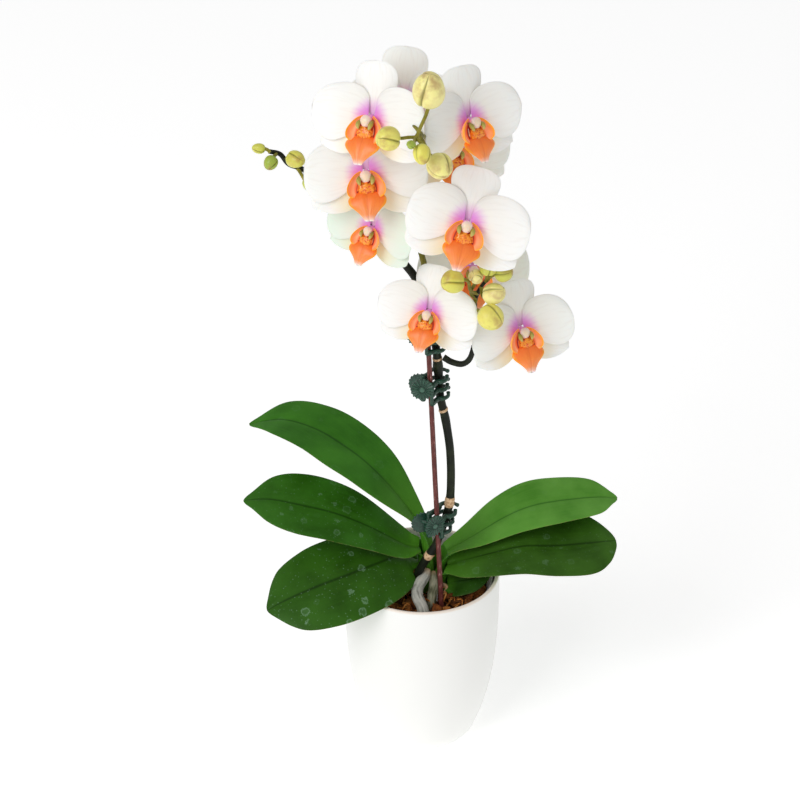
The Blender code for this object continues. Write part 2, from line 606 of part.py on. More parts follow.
def build_clips():
    for name, rise, swing in CLIPS:
        height = POT_HEIGHT + rise * MM
        stake = stake_point(height)
        turn = Matrix.Rotation(math.radians(swing), 3, "Z")
        hinge = stake + turn @ HINGE
        front, rear = stake + turn @ FRONT_DAISY, stake + turn @ REAR_DAISY
        web = front + turn @ Vector((DAISY_RADIUS * 0.93, 0, -FRONT_DAISY.z))
        clip = finish(name, post(hinge, -1.15, 1.72, CLIP_BAR * 1.5), (0.02, 0.1, 0.06), 0.4)
        boolean(clip, post(web, -1.25, 1.25, CLIP_BAR * 1.2), "UNION")
        boolean(clip, daisy(front, turn @ Vector((0, -1, 0))), "UNION")
        boolean(clip, daisy(rear, turn @ Vector((0.3, 1, 0)).normalized()), "UNION")
        for handle, level in ((front, 0.3), (rear, 0.45)):
            arm = [hinge.copy(), Vector((handle.x, handle.y, hinge.z))]
            for end in arm:
                end.z += level * CLIP_FINGER_STEP
            boolean(clip, tube(arm, [CLIP_BAR * 1.3] * 2, 8), "UNION")
        # Three fingers pass in front of the spike and three behind, half a step apart in height
        for root, arc, room, offset in ((web, (265, 305, 345, 370), 0.9, 0),
                                        (hinge, (185, 145, 100, 55, 15), 1.1, 0.5)):
            for k in (-1, 0, 1):
                level = height + (k + offset) * CLIP_FINGER_STEP
                spike, out = spike_point(level), Vector((CLIP_RING * room, 0, 0))
                ring = [spike + Matrix.Rotation(math.radians(angle), 3, "Z") @ out for angle in arc]
                path = [root] + ring
                path = [Vector((point.x, point.y, level)) for point in path]
                boolean(clip, tube(path, taper(path, CLIP_BAR, CLIP_BAR * 0.8), 6), "UNION")


for old in list(bpy.data.objects):
    bpy.data.objects.remove(old)
build_pot()
build_grow_pot()
build_bark()
build_stake()
build_stems()
build_flowers()
build_buds()
build_crown()
build_leaves()
build_roots()
build_clips()
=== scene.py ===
"""Looks of a small moth orchid in a white cover pot, built round its CAD frame.

Metres, +Z up; the front of the plant faces -Y. Rows of places are millimetres from the middle of
the pot's rim, whose height is read from the frame, so the plant follows its pot.
"""

import math
import random

import bpy
from mathutils import Matrix, Vector, noise


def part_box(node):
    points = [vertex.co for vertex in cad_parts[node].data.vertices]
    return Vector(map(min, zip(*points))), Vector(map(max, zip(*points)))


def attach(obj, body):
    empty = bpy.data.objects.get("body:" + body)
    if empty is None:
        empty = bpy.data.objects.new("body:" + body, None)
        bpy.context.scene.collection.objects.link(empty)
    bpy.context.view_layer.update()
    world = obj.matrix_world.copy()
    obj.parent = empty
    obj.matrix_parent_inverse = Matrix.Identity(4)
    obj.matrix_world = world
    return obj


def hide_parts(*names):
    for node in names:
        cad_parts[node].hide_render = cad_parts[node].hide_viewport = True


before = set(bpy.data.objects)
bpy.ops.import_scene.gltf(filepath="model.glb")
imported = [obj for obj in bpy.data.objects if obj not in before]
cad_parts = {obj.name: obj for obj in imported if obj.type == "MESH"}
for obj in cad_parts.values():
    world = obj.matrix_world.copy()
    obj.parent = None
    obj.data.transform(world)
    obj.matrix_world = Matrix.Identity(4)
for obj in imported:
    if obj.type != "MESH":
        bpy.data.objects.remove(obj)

MM = 0.001
TURN = 2 * math.pi
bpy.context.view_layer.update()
_, pot_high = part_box("pot")
RIM = Vector((0, 0, pot_high.z))


# ---------------------------------------------------------------- cover pot
# A slip-cast cover pot of white earthenware, glazed satin inside and out. It stands on its flat
# foot, swells fast above it and ends in a thin upright rim, where the glaze runs thin and creamy.

POT_FOOT = 0.673 * pot_high.x
POT_WALL = 2.6 * MM
POT_FLOOR = 4 * MM
POT_BELLY = 3.3
POT_SEGMENTS = 128


def linear(code):
    """An sRGB hex colour as the linear RGBA that shaders take."""
    channels = [int(code[i:i + 2], 16) / 255 for i in (1, 3, 5)]
    return (*[c / 12.92 if c <= 0.04045 else ((c + 0.055) / 1.055) ** 2.4 for c in channels], 1)


def add_node(finish, kind, sockets=None, stops=(), **settings):
    """Adds a shader node. Each socket takes a number, a hex colour or another node's output."""
    tree = finish.node_tree
    made = tree.nodes.new("ShaderNode" + kind)
    for name, value in settings.items():
        setattr(made, name, value)
    for name, value in (sockets or {}).items():
        if isinstance(value, bpy.types.NodeSocket):
            tree.links.new(value, made.inputs[name])
        else:
            made.inputs[name].default_value = linear(value) if isinstance(value, str) else value
    for i, (place, code) in enumerate(stops):
        ramp = made.color_ramp.elements
        stop = ramp[i] if i < 2 else ramp.new(place)
        stop.position, stop.color = place, linear(code)
    return made


def new_finish(name, **sockets):
    """A material with one Principled shader, whose sockets are named with _ for a space."""
    finish = bpy.data.materials.new(name)
    finish.use_nodes = True
    paint(finish, **sockets)
    return finish


def paint(finish, **sockets):
    """Sets or links sockets of a finish's Principled shader."""
    shader = finish.node_tree.nodes["Principled BSDF"]
    for name, value in sockets.items():
        socket = shader.inputs[name.replace("_", " ")]
        if isinstance(value, bpy.types.NodeSocket):
            finish.node_tree.links.new(value, socket)
        else:
            socket.default_value = linear(value) if isinstance(value, str) else value


def settle(piece, finish, slot, *nodes):
    """Gives a piece its finish, lets it ride on the pot and hides the CAD nodes it stands for."""
    piece.data.materials.clear()
    piece.data.materials.append(finish)
    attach(piece, "root")
    if nodes:
        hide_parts(*nodes)


def turned(name, outline, segments):
    """A piece turned round +Z: a ring drawn from point to point of a closed (radius, height) outline."""
    bpy.ops.object.select_all(action="DESELECT")
    radius, height = outline[0]
    bpy.ops.mesh.primitive_circle_add(vertices=segments, radius=radius, location=(0, 0, height))
    piece = bpy.context.object
    piece.name = piece.data.name = name
    bpy.ops.object.transform_apply(location=True)
    bpy.ops.object.mode_set(mode="EDIT")
    bpy.ops.mesh.select_all(action="SELECT")
    for (radius, height), (next_radius, next_height) in zip(outline, outline[1:] + outline[:1]):
        rise, grow = next_height - height, next_radius / radius
        bpy.ops.mesh.extrude_region_move(TRANSFORM_OT_translate={"value": (0, 0, rise)})
        bpy.ops.transform.resize(value=(grow, grow, 1), center_override=(0, 0, next_height))
    bpy.ops.mesh.select_all(action="SELECT")
    bpy.ops.mesh.remove_doubles(threshold=0.001 * MM)
    bpy.ops.mesh.normals_make_consistent(inside=False)
    bpy.ops.object.mode_set(mode="OBJECT")
    bpy.ops.object.shade_smooth_by_angle(angle=math.radians(50))
    return piece


def pot_radius(height):
    rise = 1 - height / pot_high.z
    return POT_FOOT + (pot_high.x - POT_FOOT) * (1 - rise ** POT_BELLY)


pot_outline = [(0.4 * MM, 0), (POT_FOOT - 5 * MM, 0), (POT_FOOT - 4 * MM, 0.5 * MM),
               (POT_FOOT - 1.6 * MM, 0.5 * MM),
               (POT_FOOT - 0.6 * MM, 1 * MM)]
for i in range(1, 29):
    height = (pot_high.z - 1.4 * MM) * i / 28
    pot_outline.append((pot_radius(height), height))
rim_middle = pot_high.x - POT_WALL / 2
for i in range(1, 8):
    angle = math.pi * i / 8
    pot_outline.append((rim_middle + POT_WALL / 2 * math.cos(angle),
                        pot_high.z - 1.3 * MM + 1.3 * MM * math.sin(angle)))
for i in range(28, 0, -1):
    height = POT_FLOOR + (pot_high.z - 1.4 * MM - POT_FLOOR) * i / 28
    pot_outline.append((pot_radius(height) - POT_WALL, height))
pot_outline.append((0.4 * MM, POT_FLOOR))

# Satin glaze: bright and soft, with a faint ripple, a creamier rim and a few dark grains in the body
satin_glaze = new_finish("satin_white_glaze", Roughness=0.3, IOR=1.5, Coat_Weight=0.25, Coat_Roughness=0.15)
glaze_place = add_node(satin_glaze, "TexCoord").outputs["Object"]
glaze_height = add_node(satin_glaze, "SeparateXYZ", {"Vector": glaze_place}).outputs["Z"]
rim_mask = add_node(satin_glaze, "MapRange", {"Value": glaze_height, "From Min": pot_high.z - 1.6 * MM,
                                              "From Max": pot_high.z - 0.5 * MM}).outputs["Result"]
grain = add_node(satin_glaze, "TexVoronoi", {"Vector": glaze_place, "Scale": 1 / (9 * MM)})
grain_dot = add_node(satin_glaze, "Math", {0: grain.outputs["Distance"], 1: 0.045}, operation="LESS_THAN")
grain_pick = add_node(satin_glaze, "SeparateXYZ", {"Vector": grain.outputs["Color"]}).outputs["X"]
grain_rare = add_node(satin_glaze, "Math", {0: grain_pick, 1: 0.93}, operation="GREATER_THAN")
grain_mask = add_node(satin_glaze, "Math", {0: grain_dot.outputs[0], 1: grain_rare.outputs[0]},
                      operation="MULTIPLY")
glaze_tone = add_node(satin_glaze, "MixRGB", {"Fac": rim_mask, "Color1": "#F7F7F4", "Color2": "#F6E9DC"})
glaze_tone = add_node(satin_glaze, "MixRGB", {"Fac": grain_mask.outputs[0], "Color1": glaze_tone.outputs[0],
                                              "Color2": "#9A968F"})
ripple = add_node(satin_glaze, "TexNoise", {"Vector": glaze_place, "Scale": 1 / (12 * MM), "Detail": 2.0})
glaze_bump = add_node(satin_glaze, "Bump",
                      {"Height": ripple.outputs["Fac"], "Strength": 0.08, "Distance": 0.4 * MM})
paint(satin_glaze, Base_Color=glaze_tone.outputs[0], Normal=glaze_bump.outputs[0])
settle(turned("cover_pot", pot_outline, POT_SEGMENTS), satin_glaze, "pot_glaze", "pot")


# ---------------------------------------------------------------- grow pot
# The thin nursery pot that the plant is sold in, blow-moulded from clear grey polypropylene. It
# hangs a little below the cover pot's rim; its wall has upright ribs and a rolled edge.

grow_low, grow_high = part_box("grow_pot")
GROW_WALL = 0.9 * MM
GROW_FOOT = 25.8 * MM
GROW_RIB = 0.35 * MM
GROW_RIBS = 32

grow_outline = [(6 * MM, grow_low.z + GROW_WALL), (6 * MM, grow_low.z), (GROW_FOOT, grow_low.z)]
for i in range(1, 9):
    share_up = i / 8
    grow_outline.append((GROW_FOOT + (grow_high.x - 0.5 * MM - GROW_FOOT) * share_up,
                         grow_low.z + (grow_high.z - grow_low.z) * share_up - (0.6 * MM if i == 8 else 0)))
grow_outline += [(grow_high.x - 0.2 * MM, grow_high.z - 0.2 * MM), (grow_high.x - 0.7 * MM, grow_high.z)]
for i in range(8, -1, -1):
    share_up = i / 8
    grow_outline.append((GROW_FOOT + (grow_high.x - 0.6 * MM - GROW_FOOT) * share_up - GROW_WALL,
                         grow_low.z + GROW_WALL + (grow_high.z - 0.6 * MM - grow_low.z - GROW_WALL) * share_up))
grow_pot = turned("grow_pot_liner", grow_outline, GROW_RIBS * 4)
for vertex in grow_pot.data.vertices:
    radius = math.hypot(vertex.co.x, vertex.co.y)
    if radius > GROW_FOOT - 2 * MM and vertex.co.z < grow_high.z - 3 * MM:
        pull = 1 - GROW_RIB / radius * (0.5 - 0.5 * math.cos(math.atan2(vertex.co.y,
                                                                        vertex.co.x) * GROW_RIBS))
        vertex.co.x *= pull
        vertex.co.y *= pull

# Clear grey polypropylene, moulded: cloudy, a little dusty, with lighter streaks down its wall
cloudy_pp = new_finish("cloudy_grey_polypropylene", Roughness=0.35, IOR=1.49)
streak_place = add_node(cloudy_pp, "Mapping", {"Vector": add_node(cloudy_pp, "TexCoord").outputs["Object"],
                                               "Scale": (1 / (3 * MM), 1 / (3 * MM), 1 / (30 * MM))})
streak = add_node(cloudy_pp, "TexNoise", {"Vector": streak_place.outputs[0], "Scale": 1.0, "Detail": 3.0})
streak_tone = add_node(cloudy_pp, "ValToRGB", {"Fac": streak.outputs["Fac"]},
                       stops=[(0.35, "#8A8388"), (0.65, "#C9C4C3")])
paint(cloudy_pp, Base_Color=streak_tone.outputs["Color"])
settle(grow_pot, cloudy_pp, "grow_pot_plastic", "grow_pot")


# ---------------------------------------------------------------- bark and coir
# The roots' bed: pine bark chips of 8 to 16 mm, heaped loosely on finer bark, with pale coir
# strands between them. The chips are split by hand tools, so they are flat, angular and layered.

_, bark_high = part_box("bark_mix")
CROWN_MIDDLE = Vector((7 * MM, 0, bark_high.z))
CHIP_SIZE = Vector((12, 7, 3.2)) * MM
CHIP_COUNT = 170
COIR_COUNT = 150


def smooth_route(points, count):
    """Points spread evenly by parameter along a Catmull-Rom curve through the given points."""
    ends = [points[0] * 2 - points[1]] + list(points) + [points[-1] * 2 - points[-2]]
    route = []
    for i in range(count):
        place = i / (count - 1) * (len(points) - 1)
        k = min(int(place), len(points) - 2)
        t = place - k
        a, b, c, d = ends[k:k + 4]
        route.append(0.5 * (2 * b + (c - a) * t + (2 * a - 5 * b + 4 * c - d) * t ** 2
                            + (3 * b - a - 3 * c + d) * t ** 3))
    return route


def from_rim(x, y, z):
    """A place given in millimetres from the middle of the rim."""
    return RIM + Vector((x, y, z)) * MM


def rolled(name, rows, columns, place):
    """A closed skin: a grid that place(along, around) rolls up, its seam and its end rows merged."""
    bpy.ops.object.select_all(action="DESELECT")
    bpy.ops.mesh.primitive_grid_add(x_subdivisions=rows, y_subdivisions=columns, size=1)
    piece = bpy.context.object
    piece.name = piece.data.name = name
    for vertex in piece.data.vertices:
        vertex.co = place(vertex.co.x + 0.5, vertex.co.y + 0.5)
    bpy.ops.object.mode_set(mode="EDIT")
    bpy.ops.mesh.select_all(action="SELECT")
    bpy.ops.mesh.remove_doubles(threshold=0.01 * MM)
    bpy.ops.mesh.normals_make_consistent(inside=False)
    bpy.ops.object.mode_set(mode="OBJECT")
    bpy.ops.object.shade_smooth()
    return piece


def tube(name, route, radius_at, sides):
    """A closed tube round a route. radius_at(along, angle) gives its radius; both ends close to a point."""
    along = [(route[min(i + 1, len(route) - 1)] - route[max(i - 1,
                                                            0)]).normalized() for i in range(len(route))]
    sideways = [along[0].orthogonal().normalized()]
    for heading in along[1:]:
        last = sideways[-1]
        sideways.append((last - heading * last.dot(heading)).normalized())

    def place(share, around):
        step = round(share * (len(route) + 1)) - 1
        row = min(max(step, 0), len(route) - 1)
        angle = TURN * around
        if step != row:
            return route[row]
        out = sideways[row] * math.cos(angle) + along[row].cross(sideways[row]) * math.sin(angle)
        return route[row] + out * radius_at(row / (len(route) - 1), angle)

    return rolled(name, len(route) + 1, sides, place)


def copy_piece(master, name, matrix):
    """A copy with its own mesh, put in place in that mesh."""
    piece = master.copy()
    piece.data = master.data.copy()
    piece.name = piece.data.name = name
    bpy.context.scene.collection.objects.link(piece)
    piece.data.transform(matrix)
    return piece


def joined(name, pieces):
    """Joins pieces of one kind into one object."""
    bpy.ops.object.select_all(action="DESELECT")
    for piece in pieces:
        piece.select_set(True)
    bpy.context.view_layer.objects.active = pieces[0]
    bpy.ops.object.join()
    pieces[0].name = pieces[0].data.name = name
    return pieces[0]


def split_chip(seed):
    """One flat chip: a cube cut up in edit mode, its edges broken off and its faces split in layers."""
    bpy.ops.object.select_all(action="DESELECT")
    bpy.ops.mesh.primitive_cube_add(size=1)
    chip = bpy.context.object
    bpy.ops.object.mode_set(mode="EDIT")
    bpy.ops.mesh.select_all(action="SELECT")
    bpy.ops.mesh.subdivide(number_cuts=3)
    bpy.ops.object.mode_set(mode="OBJECT")
    shift = Vector((seed * 7.3, seed * 3.1, 0))
    for vertex in chip.data.vertices:
        co = vertex.co
        taper = 1 - 0.35 * noise.noise(shift) - 0.5 * abs(co.y) ** 2
        co.x *= taper * (1 - 0.6 * co.y * noise.noise(shift * 2))
        co += noise.noise_vector(co * 2.6 + shift) * 0.17
        co.z += 0.2 * noise.noise(Vector((co.x * 1.5, co.y * 5, 0)) + shift)
        vertex.co = Vector((co.x * CHIP_SIZE.x, co.y * CHIP_SIZE.y, co.z * CHIP_SIZE.z))
    bpy.ops.object.shade_smooth_by_angle(angle=math.radians(28))
    return chip


dice = random.Random(4)
noise.seed_set(4)  # without a seed, noise_vector gives other shapes on every run
chip_masters = [split_chip(seed) for seed in range(6)]
chips = []
while len(chips) < CHIP_COUNT:
    reach = 40 * MM * math.sqrt(dice.random())
    angle = dice.uniform(0, TURN)
    spot = Vector((reach * math.cos(angle), reach * math.sin(angle), 0))
    if (spot - Vector((CROWN_MIDDLE.x, 0, 0))).length < 15 * MM:
        continue
    spot.z = bark_high.z + dice.uniform(-1.5, 4.5) * MM
    size = dice.uniform(0.55, 1.05) * (0.75 if reach > 34 * MM else 1)
    spin = Matrix.Rotation(dice.uniform(0, TURN), 4, "Z") @ Matrix.Rotation(dice.gauss(0, 0.45), 4, "X")
    spin = spin @ Matrix.Rotation(dice.gauss(0, 0.35), 4, "Y")
    chips.append(copy_piece(dice.choice(chip_masters), "chip",
                            Matrix.Translation(spot) @ spin @ Matrix.Scale(size, 4)))
for master in chip_masters:
    bpy.data.objects.remove(master)
for chip in chips:
    shade = chip.data.attributes.new("chip_shade", "FLOAT", "POINT")
    shade.data.foreach_set("value", [dice.random()] * len(chip.data.vertices))

# Split pine bark: dry and matt, red-brown to tan from chip to chip, in layers 1 mm thick
split_bark = new_finish("split_pine_bark", Roughness=0.85, Specular_IOR_Level=0.25)
bark_place = add_node(split_bark, "TexCoord").outputs["Object"]
bark_shade = add_node(split_bark, "Attribute", attribute_name="chip_shade").outputs["Fac"]
bark_grain = add_node(split_bark, "TexNoise", {"Vector": bark_place, "Scale": 1 / (2.2 * MM), "Detail": 5.0,
                                               "Roughness": 0.65})
bark_mix = add_node(split_bark, "Math", {0: bark_shade, 1: 0.5, 2: bark_grain.outputs["Fac"]},
                    operation="MULTIPLY_ADD")
bark_tone = add_node(split_bark, "ValToRGB", {"Fac": bark_mix.outputs[0]},
                     stops=[(0.3, "#1E0F06"), (1.0, "#A86A30"), (0.55, "#4A260D"), (0.8, "#7E4518")])
bark_bump = add_node(split_bark, "Bump",
                     {"Height": bark_grain.outputs["Fac"], "Strength": 0.7, "Distance": 0.8 * MM})
paint(split_bark, Base_Color=bark_tone.outputs["Color"], Normal=bark_bump.outputs[0])
settle(joined("bark_chips", chips), split_bark, "bark")

# Fine bark under the chips: the CAD bed itself, dark and damp
fine_bark = new_finish("damp_fine_bark", Roughness=0.95, Specular_IOR_Level=0.2)
fine_place = add_node(fine_bark, "TexCoord").outputs["Object"]
fine_grain = add_node(fine_bark, "TexNoise", {"Vector": fine_place, "Scale": 1 / (3 * MM), "Detail": 6.0})
fine_tone = add_node(fine_bark, "ValToRGB", {"Fac": fine_grain.outputs["Fac"]},
                     stops=[(0.35, "#1C0E07"), (0.7, "#4E2A13")])
fine_bump = add_node(fine_bark, "Bump",
                     {"Height": fine_grain.outputs["Fac"], "Strength": 0.9, "Distance": 1.5 * MM})
paint(fine_bark, Base_Color=fine_tone.outputs["Color"], Normal=fine_bump.outputs[0])
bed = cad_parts["bark_mix"]
bed.data.materials.clear()
bed.data.materials.append(fine_bark)

# Coir: pale, dull husk fibres
husk_fibre = new_finish("pale_coir_fibre", Roughness=0.8, Specular_IOR_Level=0.2)
husk_place = add_node(husk_fibre, "TexCoord").outputs["Object"]
husk_patch = add_node(husk_fibre, "TexNoise", {"Vector": husk_place, "Scale": 1 / (4 * MM), "Detail": 2.0})
husk_tone = add_node(husk_fibre, "ValToRGB", {"Fac": husk_patch.outputs["Fac"]},
                     stops=[(0.35, "#5E3212"), (0.7, "#D29A58"), (0.52, "#AE6A2C")])
paint(husk_fibre, Base_Color=husk_tone.outputs["Color"])
strands = []
for i in range(COIR_COUNT):
    reach, angle = dice.uniform(16, 38) * MM, dice.uniform(0, TURN)
    middle = Vector((reach * math.cos(angle), reach * math.sin(angle),
                     bark_high.z + dice.uniform(2.5, 6) * MM))
    heading = Vector((dice.gauss(0, 1), dice.gauss(0, 1),
                      dice.gauss(0, 0.25))).normalized() * dice.uniform(2.5, 6) * MM
    bow = Vector((dice.gauss(0, 1), dice.gauss(0, 1), abs(dice.gauss(0, 1)))) * 2.2 * MM
    thick = dice.uniform(0.25, 0.75) * MM
    ends = [middle - heading - Vector((0, 0, 3 * MM)), middle + bow,
            middle + heading - Vector((0, 0, 3 * MM))]
    strands.append(tube("strand", smooth_route(ends, 11), lambda along, angle: thick * (1 - 0.4 * along), 6))
settle(joined("coir_strands", strands), husk_fibre, "bark")


# ---------------------------------------------------------------- stake
# A steel wire stake in a brown-red vinyl coat, pushed into the bark. It is cut flat at its top,
# and the dipped coat is slightly uneven, with pale scuffs where it has been handled.

stake_low, stake_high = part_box("stake")
STAKE_RADIUS = 1.6 * MM
STAKE_FOOT = from_rim(11.9, -27.4, 0)
STAKE_LEAN = Vector((-9.1, 9.6, 184))


def stake_point(height):
    """The stake's middle at a height above the floor."""
    return STAKE_FOOT + STAKE_LEAN * ((height - RIM.z) / STAKE_LEAN.z)


stake_ends = [stake_point(stake_low.z + 0.5 * MM), stake_point(stake_high.z - 0.4 * MM)]
stake_route = [stake_ends[0].lerp(stake_ends[1], i / 60) for i in range(61)]


def stake_skin(along, angle):
    ease = min(1, (1 - along) * 60 / 0.6 + 0.72)
    return STAKE_RADIUS * ease * (1 + 0.02 * noise.noise(Vector((along * 40, angle, 0))))


# Vinyl-dipped steel: brown-red and satin, with pale scuffs drawn out along the wire
dipped_vinyl = new_finish("brown_red_dipped_vinyl", Roughness=0.42, Specular_IOR_Level=0.3)
scuff_place = add_node(dipped_vinyl, "Mapping",
                       {"Vector": add_node(dipped_vinyl, "TexCoord").outputs["Object"],
                                                 "Scale": (1 / (1.1 * MM), 1 / (1.1 * MM), 1 / (5 * MM))})
scuff = add_node(dipped_vinyl, "TexNoise", {"Vector": scuff_place.outputs[0], "Scale": 1.0, "Detail": 4.0,
                                            "Roughness": 0.7})
scuff_tone = add_node(dipped_vinyl, "ValToRGB", {"Fac": scuff.outputs["Fac"]},
                      stops=[(0.3, "#451B18"), (0.74, "#D6B8B0"), (0.54, "#652F2B"), (0.62, "#7C4741")])
scuff_bump = add_node(dipped_vinyl, "Bump",
                      {"Height": scuff.outputs["Fac"], "Strength": 0.3, "Distance": 0.2 * MM})
paint(dipped_vinyl, Base_Color=scuff_tone.outputs["Color"], Normal=scuff_bump.outputs[0])
settle(tube("stake_wire", stake_route, stake_skin, 20), dipped_vinyl, "stake_coat", "stake")


# ---------------------------------------------------------------- flower spike and branches
# The spike rises from the crown, leans with its stake and forks: its own end runs out to the left,
# one branch climbs in the middle and one comes off low on the right. It is a fleshy stem, dark
# brown-green where the light has coloured it, swollen at each joint and wrapped there by a dry bract.

SPIKE_LINE = [(-3.0, -7.6, -7), (-3.4, -11.5, 2), (0.8, -14.2, 14), (9.0, -16.6, 31), (14.0, -18, 49),
              (17.2, -17, 63), (17.9, -15, 79), (17.2, -13, 99), (14.2, -12, 121), (10.6, -12, 139),
              (9.2, -13, 160), (7.6, -14, 176), (3.0, -13, 200), (-4, -10.5, 219), (-11, -8.5, 229),
              (-20, -8, 240), (-38, -9, 262), (-56, -14, 284), (-71, -20, 299), (-80, -22, 304),
              (-85, -23, 311), (-91, -25.5, 314)]
CENTRE_LINE = [(-0.5, -13.4, 220.5), (0.6, -13.2, 230), (-3.5, -12.5, 247), (-9, -15, 272), (-6, -20, 293),
               (1.5, -30, 314), (2.5, -44, 328), (0.5, -60, 340), (-3.8, -75, 348.5), (-5.5, -82, 349.5)]
RIGHT_LINE = [(12.6, -15.4, 168), (17.5, -16.5, 165.4), (24, -18.5, 165), (28.6, -20.5, 170),
              (31, -23.5, 181),
              (32.6, -27, 193), (31.4, -32, 207), (31, -38, 221), (34, -44, 233), (38, -49, 241.5)]
SPIKE_RADIUS = 2.6 * MM
BRANCH_RADIUS = 1.9 * MM
FORK_RISE = 219  # from the rim; the spike thins above it
SPIKE_TAPER = 0.45
NODE_SWELLS = [(20, 1.15), (63, 1.1), (121, 1.08), (160, 1.25)]  # rise from the rim, swelling
BRACTS = [(19.5, 3.2, 1.5), (60.5, 5.2, 0.6), (127, 2.6, 0.8),
          (165.5, 1.8, 0.5)]  # rise from the rim, height in mm, slant

lines = {"spike": smooth_route([from_rim(*point) for point in SPIKE_LINE], 190),
         "centre": smooth_route([from_rim(*point) for point in CENTRE_LINE], 110),
         "right": smooth_route([from_rim(*point) for point in RIGHT_LINE], 80)}


def spike_radius(point):
    rise = (point.z - RIM.z) / MM
    radius = SPIKE_RADIUS * (1 - SPIKE_TAPER * max(0, rise - FORK_RISE) / 95)
    for height, swell in NODE_SWELLS:
        radius *= 1 + (swell - 1) * math.exp(-((rise - height) / 5) ** 2)
    return radius


def spike_skin(along, angle):
    spot = lines["spike"][round(along * (len(lines["spike"]) - 1))]
    return spike_radius(spot) * (1 + 0.03 * noise.noise(spot * 90 + Vector((angle, 0, 0))))


def thinning(line, thick, thin):
    """Radius of a stem that thins towards its end, with a gentle ripple along it that grows towards the end."""
    def skin(along, angle):
        grain = noise.noise(line[0] + Vector((along * 9, angle, 0)))
        ripple = 1 + 0.08 * math.cos(along * TURN * 6) * along + 0.03 * grain
        return (thick + (thin - thick) * along) * ripple
    return skin


def stem_finish(name, dark, middle, light, gloss):
    """Fleshy stem: mottled along its length, with fine pale freckles and a waxy sheen."""
    finish = new_finish(name, Roughness=gloss, Specular_IOR_Level=0.22)
    place = add_node(finish, "TexCoord").outputs["Object"]
    mottle = add_node(finish, "TexNoise", {"Vector": place, "Scale": 1 / (7 * MM), "Detail": 4.0})
    tone = add_node(finish, "ValToRGB", {"Fac": mottle.outputs["Fac"]},
                    stops=[(0.3, dark), (0.72, light), (0.5, middle)])
    freckle = add_node(finish, "TexVoronoi", {"Vector": place, "Scale": 1 / (0.9 * MM)})
    freckle_mask = add_node(finish, "MapRange", {"Value": freckle.outputs["Distance"], "From Min": 0.22,
                                                 "From Max": 0.1, "To Max": 0.3})
    tone = add_node(finish, "MixRGB",
                    {"Fac": freckle_mask.outputs[0], "Color1": tone.outputs["Color"], "Color2": light})
    bump = add_node(finish, "Bump", {"Height": mottle.outputs["Fac"], "Strength": 0.25, "Distance": 0.3 * MM})
    paint(finish, Base_Color=tone.outputs[0], Normal=bump.outputs[0])
    return finish


# Flower-spike skin: waxy and nearly black-green where it has seen the sun, olive where it is young
dark_skin = stem_finish("sun_darkened_spike_skin", "#0B0E08", "#151A0F", "#262E18", 0.5)
olive_skin = stem_finish("olive_branch_skin", "#5B5A22", "#777328", "#938C38", 0.45)
settle(tube("spike_stem", lines["spike"], spike_skin, 20), dark_skin, "dark_stem", "spike")
settle(tube("centre_stem", lines["centre"], thinning(lines["centre"], BRANCH_RADIUS, BRANCH_RADIUS * 0.6),
            16),
       olive_skin, "olive_stem", "branch_centre")
settle(tube("right_stem", lines["right"],
            thinning(lines["right"], BRANCH_RADIUS * 1.1, BRANCH_RADIUS * 0.6), 16),
       dark_skin, "dark_stem", "branch_right")

# Dry bracts: papery tan sleeves with a slanting upper edge, mottled in tans
dry_bract = new_finish("papery_dry_bract", Roughness=0.75)
bract_place = add_node(dry_bract, "TexCoord").outputs["Object"]
bract_grain = add_node(dry_bract, "TexNoise", {"Vector": bract_place, "Scale": 1 / (1.5 * MM), "Detail": 4.0})
bract_tone = add_node(dry_bract, "ValToRGB", {"Fac": bract_grain.outputs["Fac"]},
                      stops=[(0.3, "#8C6A49"), (0.7, "#E6C9A4"), (0.45, "#C9A37A")])
paint(dry_bract, Base_Color=bract_tone.outputs["Color"])
for number, (rise, tall, slant) in enumerate(BRACTS, 1):
    def near(height):
        return min(lines["spike"], key=lambda point: abs(point.z - RIM.z - height * MM))
    sleeve = [near(rise).lerp(near(rise + tall), i / 10) for i in range(11)]
    radius = spike_radius(sleeve[5]) + 0.35 * MM

    def sleeve_skin(along, angle):
        return radius - 0.3 * MM * abs(2 * along - 1) ** 4

    bract = tube(f"node_bract_{number}", sleeve, sleeve_skin, 20)
    for vertex in bract.data.vertices:
        side = (vertex.co - sleeve[5]).x / radius
        vertex.co.z += slant * MM * 0.5 * side
    settle(bract, dry_bract, "dark_stem")


# ---------------------------------------------------------------- leaves
# Six strap leaves in two ranks, thick and leathery, each grown from a folded sheath that clasps the
# crown. A crease runs down the middle of the blade, and hard water has left dusty rings on it.

LEAF_THICKNESS = 2.2 * MM
LEAF_ROWS = 56
LEAF_COLUMNS = 48
